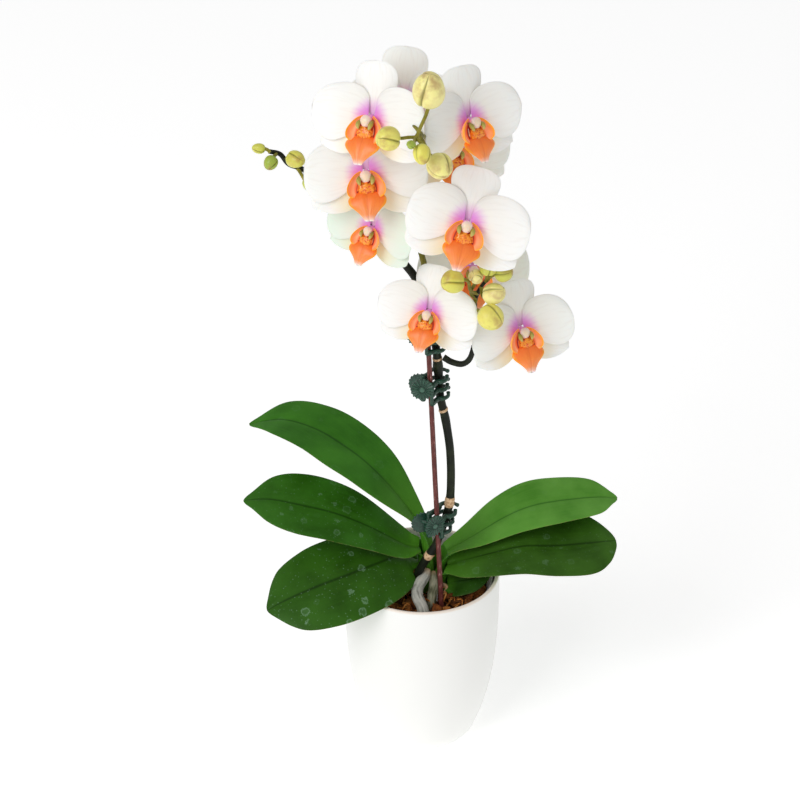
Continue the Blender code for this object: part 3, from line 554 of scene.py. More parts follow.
# Leaves: middle line, half widths along it, degrees that the blade tips to the front, fold (up above
# 0, drooping below), blunt end as a share of the length, and the colours: dark, light, dust. The dark
# and light greens are partly each leaf's own and partly painted light and shade: lighter on the upper
# leaves, darker on the low ones.
LEAVES = {
    "leaf_left_top": ([(-0.6, 2, 31), (-17, 8, 53), (-34, 16, 69), (-49, 22, 79), (-68, 30, 87.5),
                       (-90, 38, 90), (-112, 44, 83)], (6, 15, 21, 23.5, 22.5, 17, 2), 10, 0.1, 0.03,
                      "#285F0E", "#3C791E", 0.15),
    "leaf_left_middle": ([(-2.6, -1, 17), (-12, -3, 21), (-34, -4, 35), (-56, -2, 44), (-78, 0, 49),
                          (-97, 2, 52), (-115, 4, 50.5)], (6, 12, 19, 23.5, 24, 18, 2.5), 20, 0.08, 0.03,
                         "#255308", "#38701D", 0.6),
    "leaf_left_front": ([(-3.8, 3, 5), (-13, -2, 12), (-29, -18, 16.1), (-46, -29, 15.5), (-65, -37, 12.3),
                         (-84, -43, 6.5), (-99, -47, 0)], (6, 19, 28, 30.5, 30, 24, 8), 24, -0.1, 0.1,
                        "#224907", "#336215", 1.0),
    "leaf_right_top": ([(16.6, 0, 13.5), (35, 4, 24), (54, 10, 33.5), (70, 14.5, 38.5), (87, 20, 39),
                        (112, 27, 37.5), (127.5, 31, 34.5)], (6, 12, 17, 20, 20.5, 16, 2.5), 14, 0.1, 0.03,
                       "#468322", "#629D3C", 0.12),
    "leaf_right_middle": ([(16.8, -3, 5), (28, -5, 10), (45, -6, 16), (65, -4, 20), (86, -2, 19),
                           (108, 2, 18.5), (126, 7, 17.5)], (11, 14.5, 18.5, 23, 25, 24, 10), 20, 0.04, 0.08,
                          "#274A0C", "#3D681C", 0.4),
    "leaf_right_small": ([(17.2, -5.5, -8), (23, -9, -4), (31, -11, -1), (39, -10, 1.6), (45.5, -7.5, 2.4)],
                         (6, 12, 10.5, 6, 1.5), 28, 0.1, 0.06, "#1C3B08", "#2C5414", 0.3),
}


def share_of(values, place):
    """Reads a smooth curve through evenly spread values at a place from 0 to 1."""
    spot = min(max(place, 0), 1) * (len(values) - 1)
    k = min(int(spot), len(values) - 2)
    t = spot - k
    a, b, c, d = values[max(k - 1, 0)], values[k], values[k + 1], values[min(k + 2, len(values) - 1)]
    return 0.5 * (2 * b + (c - a) * t + (2 * a - 5 * b + 4 * c - d) * t ** 2
                  + (3 * b - a - 3 * c + d) * t ** 3)


def blade(name, rows, columns, surface, thickness, crowd=1.5):
    """A thin closed blade about surface(along, across), across from -1 to 1, its edges rounded thin.
    The rows crowd towards the tip, and the half turn of columns below 0.5 is the upper face."""
    step = 0.004

    def place(share, around):
        along = 1 - (1 - share) ** crowd
        across = math.cos(TURN * around)
        rise = math.sin(TURN * around)
        spot = surface(along, across)
        inner = min(max(along, 0.01), 0.985)
        down = surface(inner + step, across * 0.98) - surface(inner - step, across * 0.98)
        over = surface(inner, across * 0.98 + step) - surface(inner, across * 0.98 - step)
        normal = over.cross(down)
        if normal.length < 1e-12:
            return spot
        lens = math.copysign(abs(rise) ** 0.8, rise) * min(1, 6 * (1 - along) ** 0.7)
        return spot + normal.normalized() * (thickness / 2 * lens)

    return rolled(name, rows, columns, place)


def leaf_surface(points, widths, tip_forward, fold, blunt, ripple_seed):
    """The middle surface of a leaf: rows across its middle line, folded and tipped to the front."""
    count = 64
    middle = smooth_route([from_rim(*point) for point in points], count)
    tip = math.radians(tip_forward)
    frames = []
    for i in range(count):
        along = (middle[min(i + 1, count - 1)] - middle[max(i - 1, 0)]).normalized()
        across = along.cross(Vector((0, 0, 1))).normalized()
        if across.y > 0:
            across = -across
        up = across.cross(along)
        if up.z < 0:
            up = -up
        frames.append((across * math.cos(tip) - up * math.sin(tip),
                       up * math.cos(tip) + across * math.sin(tip)))

    def surface(along, side):
        spot = along * (count - 1)
        k = min(int(spot), count - 2)
        t = spot - k
        across, up = (frames[k][n].lerp(frames[k + 1][n], t) for n in (0, 1))
        half = share_of(widths, along) * MM
        trough = fold + 0.5 * math.exp(-(along / 0.1) ** 2)
        if along > 1 - blunt:
            half *= math.sqrt(max(0, 1 - ((along - 1 + blunt) / blunt) ** 2))
        bend = side * side if trough < 0 else math.sqrt(side * side + 0.003) - 0.055
        wave = 0.6 * MM * math.sin(along * 9 + ripple_seed * 2 + side) * side * side
        crease = -0.7 * MM * math.exp(-(side / 0.05) ** 2)
        return middle[k].lerp(middle[k + 1],
                              t) + across * half * side + up * (half * trough * bend + wave + crease)

    return surface


def blade_places(finish):
    """Along the blade, across it from -1 to 1, and round its section, where under 0.5 is its upper face."""
    uv = add_node(finish, "SeparateXYZ", {"Vector": add_node(finish, "TexCoord").outputs["UV"]})
    turn = add_node(finish, "Math", {0: uv.outputs["Y"], 1: TURN}, operation="MULTIPLY")
    across = add_node(finish, "Math", {0: turn.outputs[0]}, operation="COSINE")
    return uv.outputs["X"], across.outputs[0], uv.outputs["Y"]


def leaf_finish(name, dark, light, dust, lower_half):
    """Leaf skin: waxy, finely veined along the blade, with a pale lower face, a tan edge and lime marks."""
    finish = new_finish(name, IOR=1.4, Subsurface_Weight=0.05, Subsurface_Scale=1 * MM,
                        Subsurface_Radius=(0.4, 1.0, 0.2), Specular_IOR_Level=0.18)
    along, across, around = blade_places(finish)
    place = add_node(finish, "TexCoord").outputs["Object"]
    patch = add_node(finish, "TexNoise", {"Vector": place, "Scale": 1 / (22 * MM), "Detail": 3.0})
    tone = add_node(finish, "ValToRGB", {"Fac": patch.outputs["Fac"]}, stops=[(0.32, dark), (0.68, light)])
    # fine veins, about 1 mm apart, running the length of the blade
    vein_place = add_node(finish, "CombineXYZ", {"X": across, "Y": add_node(
        finish, "Math", {0: along, 1: 0.35}, operation="MULTIPLY").outputs[0]})
    vein = add_node(finish, "TexNoise",
                    {"Vector": vein_place.outputs[0], "Scale": 14.0, "Detail": 5.0, "Roughness": 0.6})
    vein_mask = add_node(finish, "MapRange",
                         {"Value": vein.outputs["Fac"], "From Min": 0.35, "From Max": 0.75,
                                              "To Max": 0.35})
    tone = add_node(finish, "MixRGB",
                    {"Fac": vein_mask.outputs[0], "Color1": tone.outputs["Color"], "Color2": light})
    # the crease: a thin dark line between the halves, painted shade in the fold
    off_middle = add_node(finish, "Math", {0: across}, operation="ABSOLUTE")
    crease = add_node(finish, "MapRange",
                      {"Value": off_middle.outputs[0], "From Min": 0.045, "From Max": 0.012,
                                           "To Max": 0.55})
    tone = add_node(finish, "MixRGB", {"Fac": crease.outputs[0], "Color1": tone.outputs[0], "Color2": dark},
                    blend_type="MULTIPLY")
    # lime marks: separate dried drops, cloudy inside a paler broken rim, on some of the cells only
    drops = add_node(finish, "TexVoronoi", {"Vector": place, "Scale": 1 / (9 * MM), "Randomness": 1.0})
    wobble = add_node(finish, "TexNoise",
                      {"Vector": place, "Scale": 1 / (2 * MM), "Detail": 4.0, "Roughness": 0.65})
    drop_edge = add_node(finish, "Math", {0: wobble.outputs["Fac"], 1: 0.5, 2: drops.outputs["Distance"]},
                         operation="MULTIPLY_ADD")
    drop_pick = add_node(finish, "SeparateXYZ", {"Vector": drops.outputs["Color"]})
    drop_size = add_node(finish, "Math", {0: drop_pick.outputs["Y"], 1: 0.2, 2: drop_edge.outputs[0]},
                         operation="MULTIPLY_ADD")
    drop_tone = add_node(finish, "ValToRGB", {"Fac": drop_size.outputs[0]},
                         stops=[(0.3, "#5A5A5A"), (0.62, "#000000"), (0.5, "#6E6E6E"), (0.56, "#D8D8D8")])
    drop_there = add_node(finish, "MapRange",
                          {"Value": drop_pick.outputs["X"], "From Min": 0.45, "From Max": 0.75,
                                               "To Max": 0.6 * dust})
    drop_mask = add_node(finish, "Math", {0: drop_tone.outputs["Color"], 1: drop_there.outputs[0]},
                         operation="MULTIPLY")
    tone = add_node(finish, "MixRGB",
                    {"Fac": drop_mask.outputs[0], "Color1": tone.outputs[0], "Color2": "#8FB394"})
    # lime flecks: fine splashes between the drops
    flecks = add_node(finish, "TexVoronoi", {"Vector": place, "Scale": 1 / (2.6 * MM)})
    fleck_mask = add_node(finish, "MapRange",
                          {"Value": flecks.outputs["Distance"], "From Min": 0.2, "From Max": 0.08,
                                               "To Max": 0.3 * dust})
    tone = add_node(finish, "MixRGB",
                    {"Fac": fleck_mask.outputs[0], "Color1": tone.outputs[0], "Color2": "#8FB394"})
    # the root end stays bright green where the light is dim
    green_tint = add_node(finish, "MapRange", {"Value": along, "From Min": 0.2, "From Max": 0.02, "To Max": 0.85})
    tone = add_node(finish, "MixRGB",
                    {"Fac": green_tint.outputs[0], "Color1": tone.outputs[0], "Color2": "#4C8420"})
    # the lower face is paler, and the edge dries to a tan line
    below = add_node(finish, "Math", {0: around, 1: 0.5}, operation=lower_half)
    pale = add_node(finish, "Math", {0: below.outputs[0], 1: 0.45}, operation="MULTIPLY")
    tone = add_node(finish, "MixRGB",
                    {"Fac": pale.outputs[0], "Color1": tone.outputs[0], "Color2": "#6C9A4C"})
    edge = add_node(finish, "MapRange", {"Value": off_middle.outputs[0], "From Min": 0.991, "From Max": 0.998,
                                         "To Max": 0.6})
    nick = add_node(finish, "MapRange", {"Value": wobble.outputs["Fac"], "From Min": 0.4, "From Max": 0.6})
    edge = add_node(finish, "Math", {0: edge.outputs[0], 1: nick.outputs[0]}, operation="MULTIPLY")
    tone = add_node(finish, "MixRGB",
                    {"Fac": edge.outputs[0], "Color1": tone.outputs[0], "Color2": "#A08A5A"})
    # the very tip has dried to brown
    dry = add_node(finish, "MapRange", {"Value": along, "From Min": 0.975, "From Max": 0.992, "To Max": 0.8})
    tone = add_node(finish, "MixRGB", {"Fac": dry.outputs[0], "Color1": tone.outputs[0], "Color2": "#4A3216"})
    gloss = add_node(finish, "MapRange", {"Value": patch.outputs["Fac"], "To Min": 0.34, "To Max": 0.5})
    skin_bump = add_node(finish, "Bump",
                         {"Height": vein.outputs["Fac"], "Strength": 0.25, "Distance": 0.3 * MM})
    paint(finish, Base_Color=tone.outputs[0], Roughness=gloss.outputs[0], Normal=skin_bump.outputs[0])
    return finish


leaf_surfaces = {}
for number, (name, (points, widths, tip_forward, fold, blunt, dark, light,
                    dust)) in enumerate(LEAVES.items()):
    surface = leaf_surfaces[name] = leaf_surface(points, widths, tip_forward, fold, blunt, number)
    leaf = blade(name + "_blade", LEAF_ROWS, LEAF_COLUMNS, surface, LEAF_THICKNESS)
    # the blade's first columns are its upper face on the right, and its lower face on the left
    lower_half = "GREATER_THAN" if points[-1][0] > 0 else "LESS_THAN"
    settle(leaf, leaf_finish("waxy_" + name, dark, light, dust, lower_half), "leaf", name)


# ---------------------------------------------------------------- crown
# The crown is the sheaths of the six leaves, each folded round the ones inside it, and bright green
# where the light hasn't reached. Every sheath grows out into its leaf.

SHEATH_ROWS = 28
CROWN_BURIED = 4 * MM
# Sheaths: leaf, radius at the foot, and how far round the crown it clasps there, in degrees
SHEATHS = [("leaf_left_top", 5.2, 105), ("leaf_right_top", 6.2, 108), ("leaf_left_middle", 7.4, 100),
           ("leaf_right_middle", 8.2, 100), ("leaf_left_front", 9.2, 95), ("leaf_right_small", 9.8, 80)]


def sheath_surface(leaf, surface_of_leaf, foot_radius, clasp):
    """A half tube that clasps the crown at its foot and turns out into the leaf's own folded root."""
    start = from_rim(*LEAVES[leaf][0][0])
    out = Vector((math.copysign(1, start.x - CROWN_MIDDLE.x), 0, 0))
    foot_height = CROWN_MIDDLE.z - CROWN_BURIED
    turn_height = max(start.z - 4 * MM, foot_height + 4 * MM)

    def surface(along, side):
        angle = math.radians(clasp) * side
        ring = CROWN_MIDDLE + (out * math.cos(angle) - Vector((0, 1, 0)) * math.sin(angle)) * foot_radius * MM
        foot, turn = Vector((ring.x, ring.y, foot_height)), Vector((ring.x, ring.y, turn_height))
        root, onward = surface_of_leaf(0.0, side), surface_of_leaf(0.07, side)
        a, b, c, d = (1 - along) ** 3, 3 * along * (1 - along) ** 2, 3 * along ** 2 * (1 - along), along ** 3
        return foot * a + turn * b + root * c + onward * d

    return surface


# Sheath skin: smooth, wet-looking young green, yellower towards the foot
young_sheath = new_finish("young_green_sheath", Roughness=0.38, IOR=1.45, Subsurface_Weight=0.15,
                          Subsurface_Scale=1.5 * MM, Subsurface_Radius=(0.4, 1.0, 0.2))
sheath_along, _, _ = blade_places(young_sheath)
sheath_place = add_node(young_sheath, "TexCoord").outputs["Object"]
sheath_noise = add_node(young_sheath, "TexNoise",
                        {"Vector": sheath_place, "Scale": 1 / (6 * MM), "Detail": 3.0})
sheath_mix = add_node(young_sheath, "Math", {0: sheath_noise.outputs["Fac"], 1: 0.5, 2: sheath_along},
                      operation="MULTIPLY_ADD")
sheath_tone = add_node(young_sheath, "ValToRGB", {"Fac": sheath_mix.outputs[0]},
                       stops=[(0.25, "#6E9A34"), (1.0, "#3F7A1C"), (0.6, "#4C8A20")])
paint(young_sheath, Base_Color=sheath_tone.outputs["Color"])
for number, (leaf, foot_radius, clasp) in enumerate(SHEATHS):
    surface = sheath_surface(leaf, leaf_surfaces[leaf], foot_radius, clasp)
    sheath = blade(leaf + "_sheath", SHEATH_ROWS, 32, surface, 1.5 * MM, crowd=1)
    settle(sheath, young_sheath, "leaf_sheath", *(["crown"] if number == 0 else []))


# ---------------------------------------------------------------- aerial roots
# Thick roots that leave the crown and dive into the bark. Their dry velamen, the spongy outer skin,
# is silver-grey, scuffed to tan where it has split, and green only at the growing tip.

# Roots: radius, middle line, knobbliness, and the CAD root that each stands for
ROOTS = {
    "long_silver_root": (3.7, [(3.4, -9.6, 6), (2.2, -14.2, 3.6), (-0.9, -19, 2.2), (-3.2, -24, 0.6),
                               (-2.8, -29, -2.6), (0.4, -34.5, -8), (2.8, -37, -18)], 0.12, "root_long"),
    "middle_olive_root": (3.0, [(7.4, -8.6, 3.4), (7.4, -12.6, 1.8), (7.3, -18, -2), (6.4, -22, -5.4),
                                (5.4, -26, -9.7), (5.1, -27.5, -18)], 0.12, "root_middle"),
    "thin_silver_root": (1.3, [(9.6, -9, -5), (9, -15, -6.4), (8.6, -19, -9.6), (8.3, -22.6, -13.2),
                               (8.2, -24, -18)], 0.1, "root_thin"),
    "dry_root_stub": (1.35, [(13, -8.5, -5.5), (15.6, -10.6, -7), (14.9, -13, -10), (13.9, -15, -12.5),
                             (13.4, -16, -16)], 0.5, None),
}
# Dry velamen: silver over olive, matt and spongy, wrinkled along the root and scuffed to tan
VELAMEN_TONES = {
    "long_silver_root": ("#5B5A50", "#A3A39A", "#C4C2B8", "#B89468"),
    "middle_olive_root": ("#3F412E", "#6B6C54", "#93927C", "#A98B62"),
    "thin_silver_root": ("#6A6C6C", "#A6A8A6", "#C6C8C6", "#A9998A"),
    "dry_root_stub": ("#7A4E2C", "#B78A5E", "#D8B492", "#E0C0A6"),
}


def velamen_finish(name, dark, middle, light, tan):
    finish = new_finish("velamen_of_" + name, Roughness=0.85, Specular_IOR_Level=0.2)
    uv = add_node(finish, "SeparateXYZ", {"Vector": add_node(finish, "TexCoord").outputs["UV"]})
    place = add_node(finish, "TexCoord").outputs["Object"]
    patch = add_node(finish, "TexNoise",
                     {"Vector": place, "Scale": 1 / (5 * MM), "Detail": 6.0, "Roughness": 0.65})
    wrinkle_place = add_node(finish, "CombineXYZ", {"X": uv.outputs["Y"], "Y": add_node(
        finish, "Math", {0: uv.outputs["X"], 1: 0.3}, operation="MULTIPLY").outputs[0]})
    wrinkle = add_node(finish, "TexNoise", {"Vector": wrinkle_place.outputs[0], "Scale": 16.0, "Detail": 4.0})
    mix = add_node(finish, "Math", {0: wrinkle.outputs["Fac"], 1: 0.6, 2: add_node(
        finish, "Math", {0: patch.outputs["Fac"], 1: 0.4}, operation="MULTIPLY").outputs[0]},
        operation="MULTIPLY_ADD")
    tone = add_node(finish, "ValToRGB", {"Fac": mix.outputs[0]},
                    stops=[(0.34, dark), (0.74, tan), (0.46, middle), (0.6, light)])
    top = add_node(finish, "MapRange",
                   {"Value": uv.outputs["X"], "From Min": 0.2, "From Max": 0.04, "To Max": 0.7})
    tone = add_node(finish, "MixRGB", {"Fac": top.outputs[0], "Color1": tone.outputs["Color"], "Color2": tan})
    bump = add_node(finish, "Bump", {"Height": mix.outputs[0], "Strength": 0.8, "Distance": 0.6 * MM})
    paint(finish, Base_Color=tone.outputs[0], Normal=bump.outputs[0])
    return finish


for name, (radius, points, knobbliness, node) in ROOTS.items():
    route = smooth_route([from_rim(*point) for point in points], 56)

    def root_skin(along, angle):
        spot = route[round(along * 55)]
        knobbly = noise.noise(spot * 220 + Vector((math.cos(angle), math.sin(angle), 0)) * 0.7)
        wrinkle = noise.noise(Vector((math.cos(angle) * 2.6, math.sin(angle) * 2.6, along * 2.5)))
        slim = 0.55 + 0.45 * min(1, along / 0.3)
        return radius * MM * slim * (1 + knobbliness * knobbly + 0.09 * wrinkle)

    root = tube(name, route, root_skin, 32)
    settle(root, velamen_finish(name, *VELAMEN_TONES[name]), "root", *([node] if node else []))


# ---------------------------------------------------------------- flowers
# Ten open flowers, each on its stalk: three sepals behind, two broad petals before them, the column
# in the middle and the lip under it. The lip has a shield-shaped blade, two lobes that stand up
# beside the column, a warty callus between them and a pair of olive horns.

# Flowers: place from the rim, turn to the right, roll clockwise, size, tilt up, the stem it grows
# from, how far along that stem, the way its stalk sets out, and how green its petals are. That green
# tint is partly young flesh and partly painted shade, strongest on flowers behind and under others.
FLOWERS = {
    "flower_01": ((-30.5, -46, 345.5), -28, -4, 0.98, 17, "centre", 0.84, (-0.4, 0.5, 0.6), 0.0),
    "flower_02": ((-12.0, -18, 340.6), 0, 2, 1.00, 14, "centre", 0.47, (-0.2, 0.9, 0.5), 0.15),
    "flower_03": ((25.5, -42, 342.0), 34, 4, 0.94, 17, "centre", 0.78, (0.4, 0.7, 0.4), 0.1),
    "flower_04": ((17.5, 8, 299.2), 12, 0, 0.95, 17, "centre", 0.34, (0.5, 0.9, -0.3), 0.3),
    "flower_05": ((-34.0, -38, 306.0), -4, -6, 1.00, 18, "centre", 0.42, (-0.7, 0.2, 0.4), 0.1),
    "flower_06": ((-30.5, -36, 268.4), -28, 4, 0.80, 14, "spike", 0.755, (0.1, -0.4, 0.8), 1.0),
    "flower_07": ((24.6, -60, 284.2), 0, 13, 1.00, 18, "centre", 0.25, (0.7, -0.3, 0.6), 0.0),
    "flower_08": ((30.0, 1, 221.8), 6, 0, 0.96, 17, "right", 0.5, (-0.1, 0.9, -0.7), 0.5),
    "flower_09": ((3.0, -48, 218.0), -14, 4, 0.86, 16, "spike", 0.585, (0.1, -0.7, 0.5), 0.0),
    "flower_10": ((58.5, -40, 201.6), 20, -2, 0.91, 16, "right", 0.46, (0.8, -0.1, 0.2), 0.2),
}
HUB_BACK = 6 * MM
TEPAL_ROOT = 2.2 * MM
PETAL_THICKNESS = 0.9 * MM
# Tepals: angle from the right-hand side, length, greatest half width, how far forward they start,
# their sweep forward, where they are widest (higher is nearer the tip), how blunt their tip is, how
# much their upper shoulder fills out near the root, and cup
TEPALS = {
    "dorsal_sepal": (90, 34.5, 13.4, -1.5, 0.06, 1.0, 0.38, 0, 0.16),
    "right_sepal": (-31, 38, 12.4, -1.1, 0.05, 0.66, 0.68, 0, 0.12),
    "left_sepal": (209, 38, 12.4, -1.9, 0.07, 0.66, 0.68, 0, 0.12),
    "right_petal": (6, 36, 17.6, 1.0, 0.2, 0.7, 0.42, 0.34, 0.14),
    "left_petal": (174, 36, 17.6, 1.3, 0.19, 0.7, 0.42, -0.34, 0.14),
}


def tepal_surface(angle, length, width, forward, sweep, waist, blunt, shoulder, cup, seed):
    direction = Vector((math.cos(math.radians(angle)), 0, math.sin(math.radians(angle))))
    sideways = Vector((-direction.z, 0, direction.x))

    def surface(along, across):
        fill = waist - shoulder * across
        widest = fill / (fill + blunt)
        peak = widest ** fill * (1 - widest) ** blunt
        half = 2.4 * MM * (1 - along) + width * MM * along ** fill * max(1 - along, 0) ** blunt / peak
        spot = direction * (TEPAL_ROOT + (length * MM - TEPAL_ROOT) * along) + sideways * half * across
        spot.y = -forward * MM - sweep * length * MM * along
        spot.y += cup * half * across * across + 1.6 * MM * along ** 3
        spot.y += 0.45 * MM * math.exp(-(across / 0.06) ** 2) * (1 - along)
        spot.y += 0.7 * MM * math.sin(7 * along + 2.2 * across + seed) * across * across * along
        return spot

    return surface


def tepal_finish(name, golden, blush, lower_side=0):
    """Petal flesh: matt, translucent white with faint veins; lilac at its root, or golden on a low sepal."""
    finish = new_finish(name, Roughness=0.55, IOR=1.38, Subsurface_Weight=0.35, Subsurface_Scale=2.5 * MM,
                        Subsurface_Radius=(1.0, 0.75, 0.6), Sheen_Weight=0.15, Sheen_Roughness=0.4)
    along, across, _ = blade_places(finish)
    # a mint tint given flower by flower: partly young flesh, partly painted shade on flowers behind and under
    # others
    green_tint = add_node(finish, "Attribute", attribute_name="green_tint").outputs["Fac"]
    tone = add_node(finish, "MixRGB", {"Fac": green_tint, "Color1": "#FCFBF7", "Color2": "#DFEDDC"})
    # cream flesh, warmest near the root
    cream = add_node(finish, "MapRange", {"Value": along, "From Min": 0.75, "From Max": 0.1, "To Max": 0.5})
    tone = add_node(finish, "MixRGB",
                    {"Fac": cream.outputs[0], "Color1": tone.outputs[0], "Color2": "#FBF3E8"})
    if golden:
        inner = add_node(finish, "MapRange",
                         {"Value": across, "From Min": -0.7 * golden, "From Max": 0.9 * golden,
                                              "To Max": 1.0})
        gold = add_node(finish, "MapRange",
                        {"Value": along, "From Min": 0.66, "From Max": 0.22, "To Max": 0.8})
        gold = add_node(finish, "Math", {0: gold.outputs[0], 1: inner.outputs[0]}, operation="MULTIPLY")
        tone = add_node(finish, "MixRGB",
                        {"Fac": gold.outputs[0], "Color1": tone.outputs[0], "Color2": "#E6D284"})
    # veins fan out from the root; drawn wider than life, so that they show
    vein_place = add_node(finish, "CombineXYZ", {"X": across, "Y": add_node(
        finish, "Math", {0: along, 1: 0.25}, operation="MULTIPLY").outputs[0]})
    vein = add_node(finish, "TexNoise", {"Vector": vein_place.outputs[0], "Scale": 9.0, "Detail": 3.0})
    vein_mask = add_node(finish, "MapRange", {"Value": vein.outputs["Fac"], "From Min": 0.5, "From Max": 0.68,
                                              "To Max": 0.25})
    tone = add_node(finish, "MixRGB",
                    {"Fac": vein_mask.outputs[0], "Color1": tone.outputs[0], "Color2": "#E9E2DA"})
    # the lilac flush at the root, its edge feathered along the veins
    from_hub = add_node(finish, "Attribute", attribute_name="from_hub").outputs["Fac"]
    feather = add_node(finish, "Math", {0: vein.outputs["Fac"], 1: -4.0, 2: from_hub},
                       operation="MULTIPLY_ADD")
    flush = add_node(finish, "MapRange", {"Value": feather.outputs[0], "From Min": 12.5, "From Max": 3.0,
                                          "To Max": blush}, interpolation_type="SMOOTHSTEP")
    hot = add_node(finish, "MapRange",
                   {"Value": across, "From Min": -0.1 * lower_side, "From Max": 0.7 * lower_side,
                                        "To Max": 0.8 * abs(lower_side)})
    pink = add_node(finish, "MixRGB", {"Fac": hot.outputs[0], "Color1": "#EA98E8", "Color2": "#F0709F"})
    tone = add_node(finish, "MixRGB",
                    {"Fac": flush.outputs[0], "Color1": tone.outputs[0], "Color2": pink.outputs[0]})
    bump = add_node(finish, "Bump", {"Height": vein.outputs["Fac"], "Strength": 0.2, "Distance": 0.25 * MM})
    paint(finish, Base_Color=tone.outputs[0], Normal=bump.outputs[0])
    return finish


# Orchid petal flesh: soft, thick and slightly waxy, so that it glows where light passes through it
tepal_finishes = {"dorsal_sepal": tepal_finish("white_dorsal_sepal_flesh", 0, 0.6),
                  "right_sepal": tepal_finish("golden_right_sepal_flesh", -1, 0.1),
                  "left_sepal": tepal_finish("golden_left_sepal_flesh", 1, 0.1),
                  "right_petal": tepal_finish("white_right_petal_flesh", 0, 1.0, -1),
                  "left_petal": tepal_finish("white_left_petal_flesh", 0, 1.0, 1)}
flower_masters = {}
for number, (name, row) in enumerate(TEPALS.items()):
    master = blade(name, 30, 40, tepal_surface(*row, number * 1.7), PETAL_THICKNESS)
    from_hub = master.data.attributes.new("from_hub", "FLOAT", "POINT")
    from_hub.data.foreach_set("value", [vertex.co.length / MM for vertex in master.data.vertices])
    flower_masters[name] = (master, tepal_finishes[name], "petal")

# Column: the thick white-pink body that joins the stamen and the pistil, with a round cap at its end
COLUMN_RADII = [(2.5, 1.0), (0, 2.6), (-4, 2.5), (-6.2, 2.9), (-8, 3.35), (-9.6, 2.8), (-10.7, 1.0)]


def column_place(share, around):
    spot = share * (len(COLUMN_RADII) - 1)
    forward = share_of([row[0] for row in COLUMN_RADII], share)
    radius = share_of([row[1] for row in COLUMN_RADII], share) if 0 < share < 1 else 0
    angle = TURN * around
    beak = 1 + 0.25 * max(0, -math.sin(angle)) * math.exp(-((spot - 4.3) / 0.8) ** 2)
    return Vector((radius * math.cos(angle), forward, radius * math.sin(angle) * beak - 0.5 * share)) * MM


column_flesh = new_finish("pale_pink_column_flesh", Roughness=0.4, Subsurface_Weight=0.4,
                          Subsurface_Scale=2 * MM,
                          Subsurface_Radius=(1.0, 0.5, 0.4), Coat_Weight=0.2)
column_along, _, _ = blade_places(column_flesh)
column_tone = add_node(column_flesh, "ValToRGB", {"Fac": column_along},
                       stops=[(0.3, "#E99AD6"), (0.95, "#F3DCBE"), (0.6, "#F4C8D2"), (0.8, "#F6D8D0")])
paint(column_flesh, Base_Color=column_tone.outputs["Color"])
flower_masters["column"] = (rolled("column", 24, 24, column_place), column_flesh, "petal")

# Lip blade: forward, down and half width along its middle, from the root to the tip
LIP_BLADE = [(6, 8.5, 4.5), (9, 10.2, 9.0), (11, 12.3, 11.2), (12.3, 15, 10.8), (13.2, 18, 8.2),
             (13.8, 21, 5.4),
             (14, 23.8, 3.5), (13.6, 26.2, 2.6)]


def lip_surface(along, across):
    forward, down, half = (share_of([row[n] for row in LIP_BLADE], along) for n in range(3))
    if along > 0.94:
        half *= math.sqrt(max(0, 1 - ((along - 0.94) / 0.06) ** 2))
    back = 0.16 * half * across * across + 0.5 * math.exp(-(across / 0.08) ** 2)
    edge = 0.5 * math.sin(11 * along) * across * across
    return Vector((half * across, -forward + back + edge, -down - 0.12 * half * across * across)) * MM


def lip_finish(name):
    """Lip flesh: thick and waxy orange, brighter at its rim."""
    return new_finish(name, Roughness=0.38, IOR=1.42, Subsurface_Weight=0.25, Subsurface_Scale=1.5 * MM,
                      Subsurface_Radius=(1.0, 0.4, 0.1), Coat_Weight=0.25, Coat_Roughness=0.3)


lip_flesh = lip_finish("waxy_orange_lip_flesh")
lip_along, lip_across, _ = blade_places(lip_flesh)
lip_tone = add_node(lip_flesh, "ValToRGB", {"Fac": lip_along},
                    stops=[(0.0, "#FA7426"), (0.94, "#FFF6F2"), (0.45, "#FF8A38"), (0.7, "#FF9C5C"),
                           (0.84, "#FFC6AE")])
lip_off_middle = add_node(lip_flesh, "Math", {0: lip_across}, operation="ABSOLUTE")
lip_rim = add_node(lip_flesh, "MapRange",
                   {"Value": lip_off_middle.outputs[0], "From Min": 0.8, "From Max": 0.96})
lip_rim_fade = add_node(lip_flesh, "MapRange", {"Value": lip_along, "From Min": 0.75, "From Max": 0.5})
lip_rim = add_node(lip_flesh, "Math", {0: lip_rim.outputs[0], 1: lip_rim_fade.outputs[0]},
                   operation="MULTIPLY")
lip_tone = add_node(lip_flesh, "MixRGB", {"Fac": lip_rim.outputs[0], "Color1": lip_tone.outputs["Color"],
                                          "Color2": "#FFA01A"})
lip_groove = add_node(lip_flesh, "MapRange",
                      {"Value": lip_off_middle.outputs[0], "From Min": 0.08, "From Max": 0.0,
                                              "To Max": 0.35})
lip_tone = add_node(lip_flesh, "MixRGB", {"Fac": lip_groove.outputs[0], "Color1": lip_tone.outputs[0],
                                          "Color2": "#E0551A"})
lip_vein_place = add_node(lip_flesh, "CombineXYZ", {"X": lip_across, "Y": add_node(
    lip_flesh, "Math", {0: lip_along, 1: 0.3}, operation="MULTIPLY").outputs[0]})
lip_vein = add_node(lip_flesh, "TexNoise", {"Vector": lip_vein_place.outputs[0], "Scale": 8.0, "Detail": 4.0})
lip_vein_mask = add_node(lip_flesh, "MapRange",
                         {"Value": lip_vein.outputs["Fac"], "From Min": 0.5, "From Max": 0.66,
                                                 "To Max": 0.35})
lip_tone = add_node(lip_flesh, "MixRGB", {"Fac": lip_vein_mask.outputs[0], "Color1": lip_tone.outputs[0],
                                          "Color2": "#F0661C"})
lip_bump = add_node(lip_flesh, "Bump",
                    {"Height": lip_vein.outputs["Fac"], "Strength": 0.5, "Distance": 0.4 * MM})
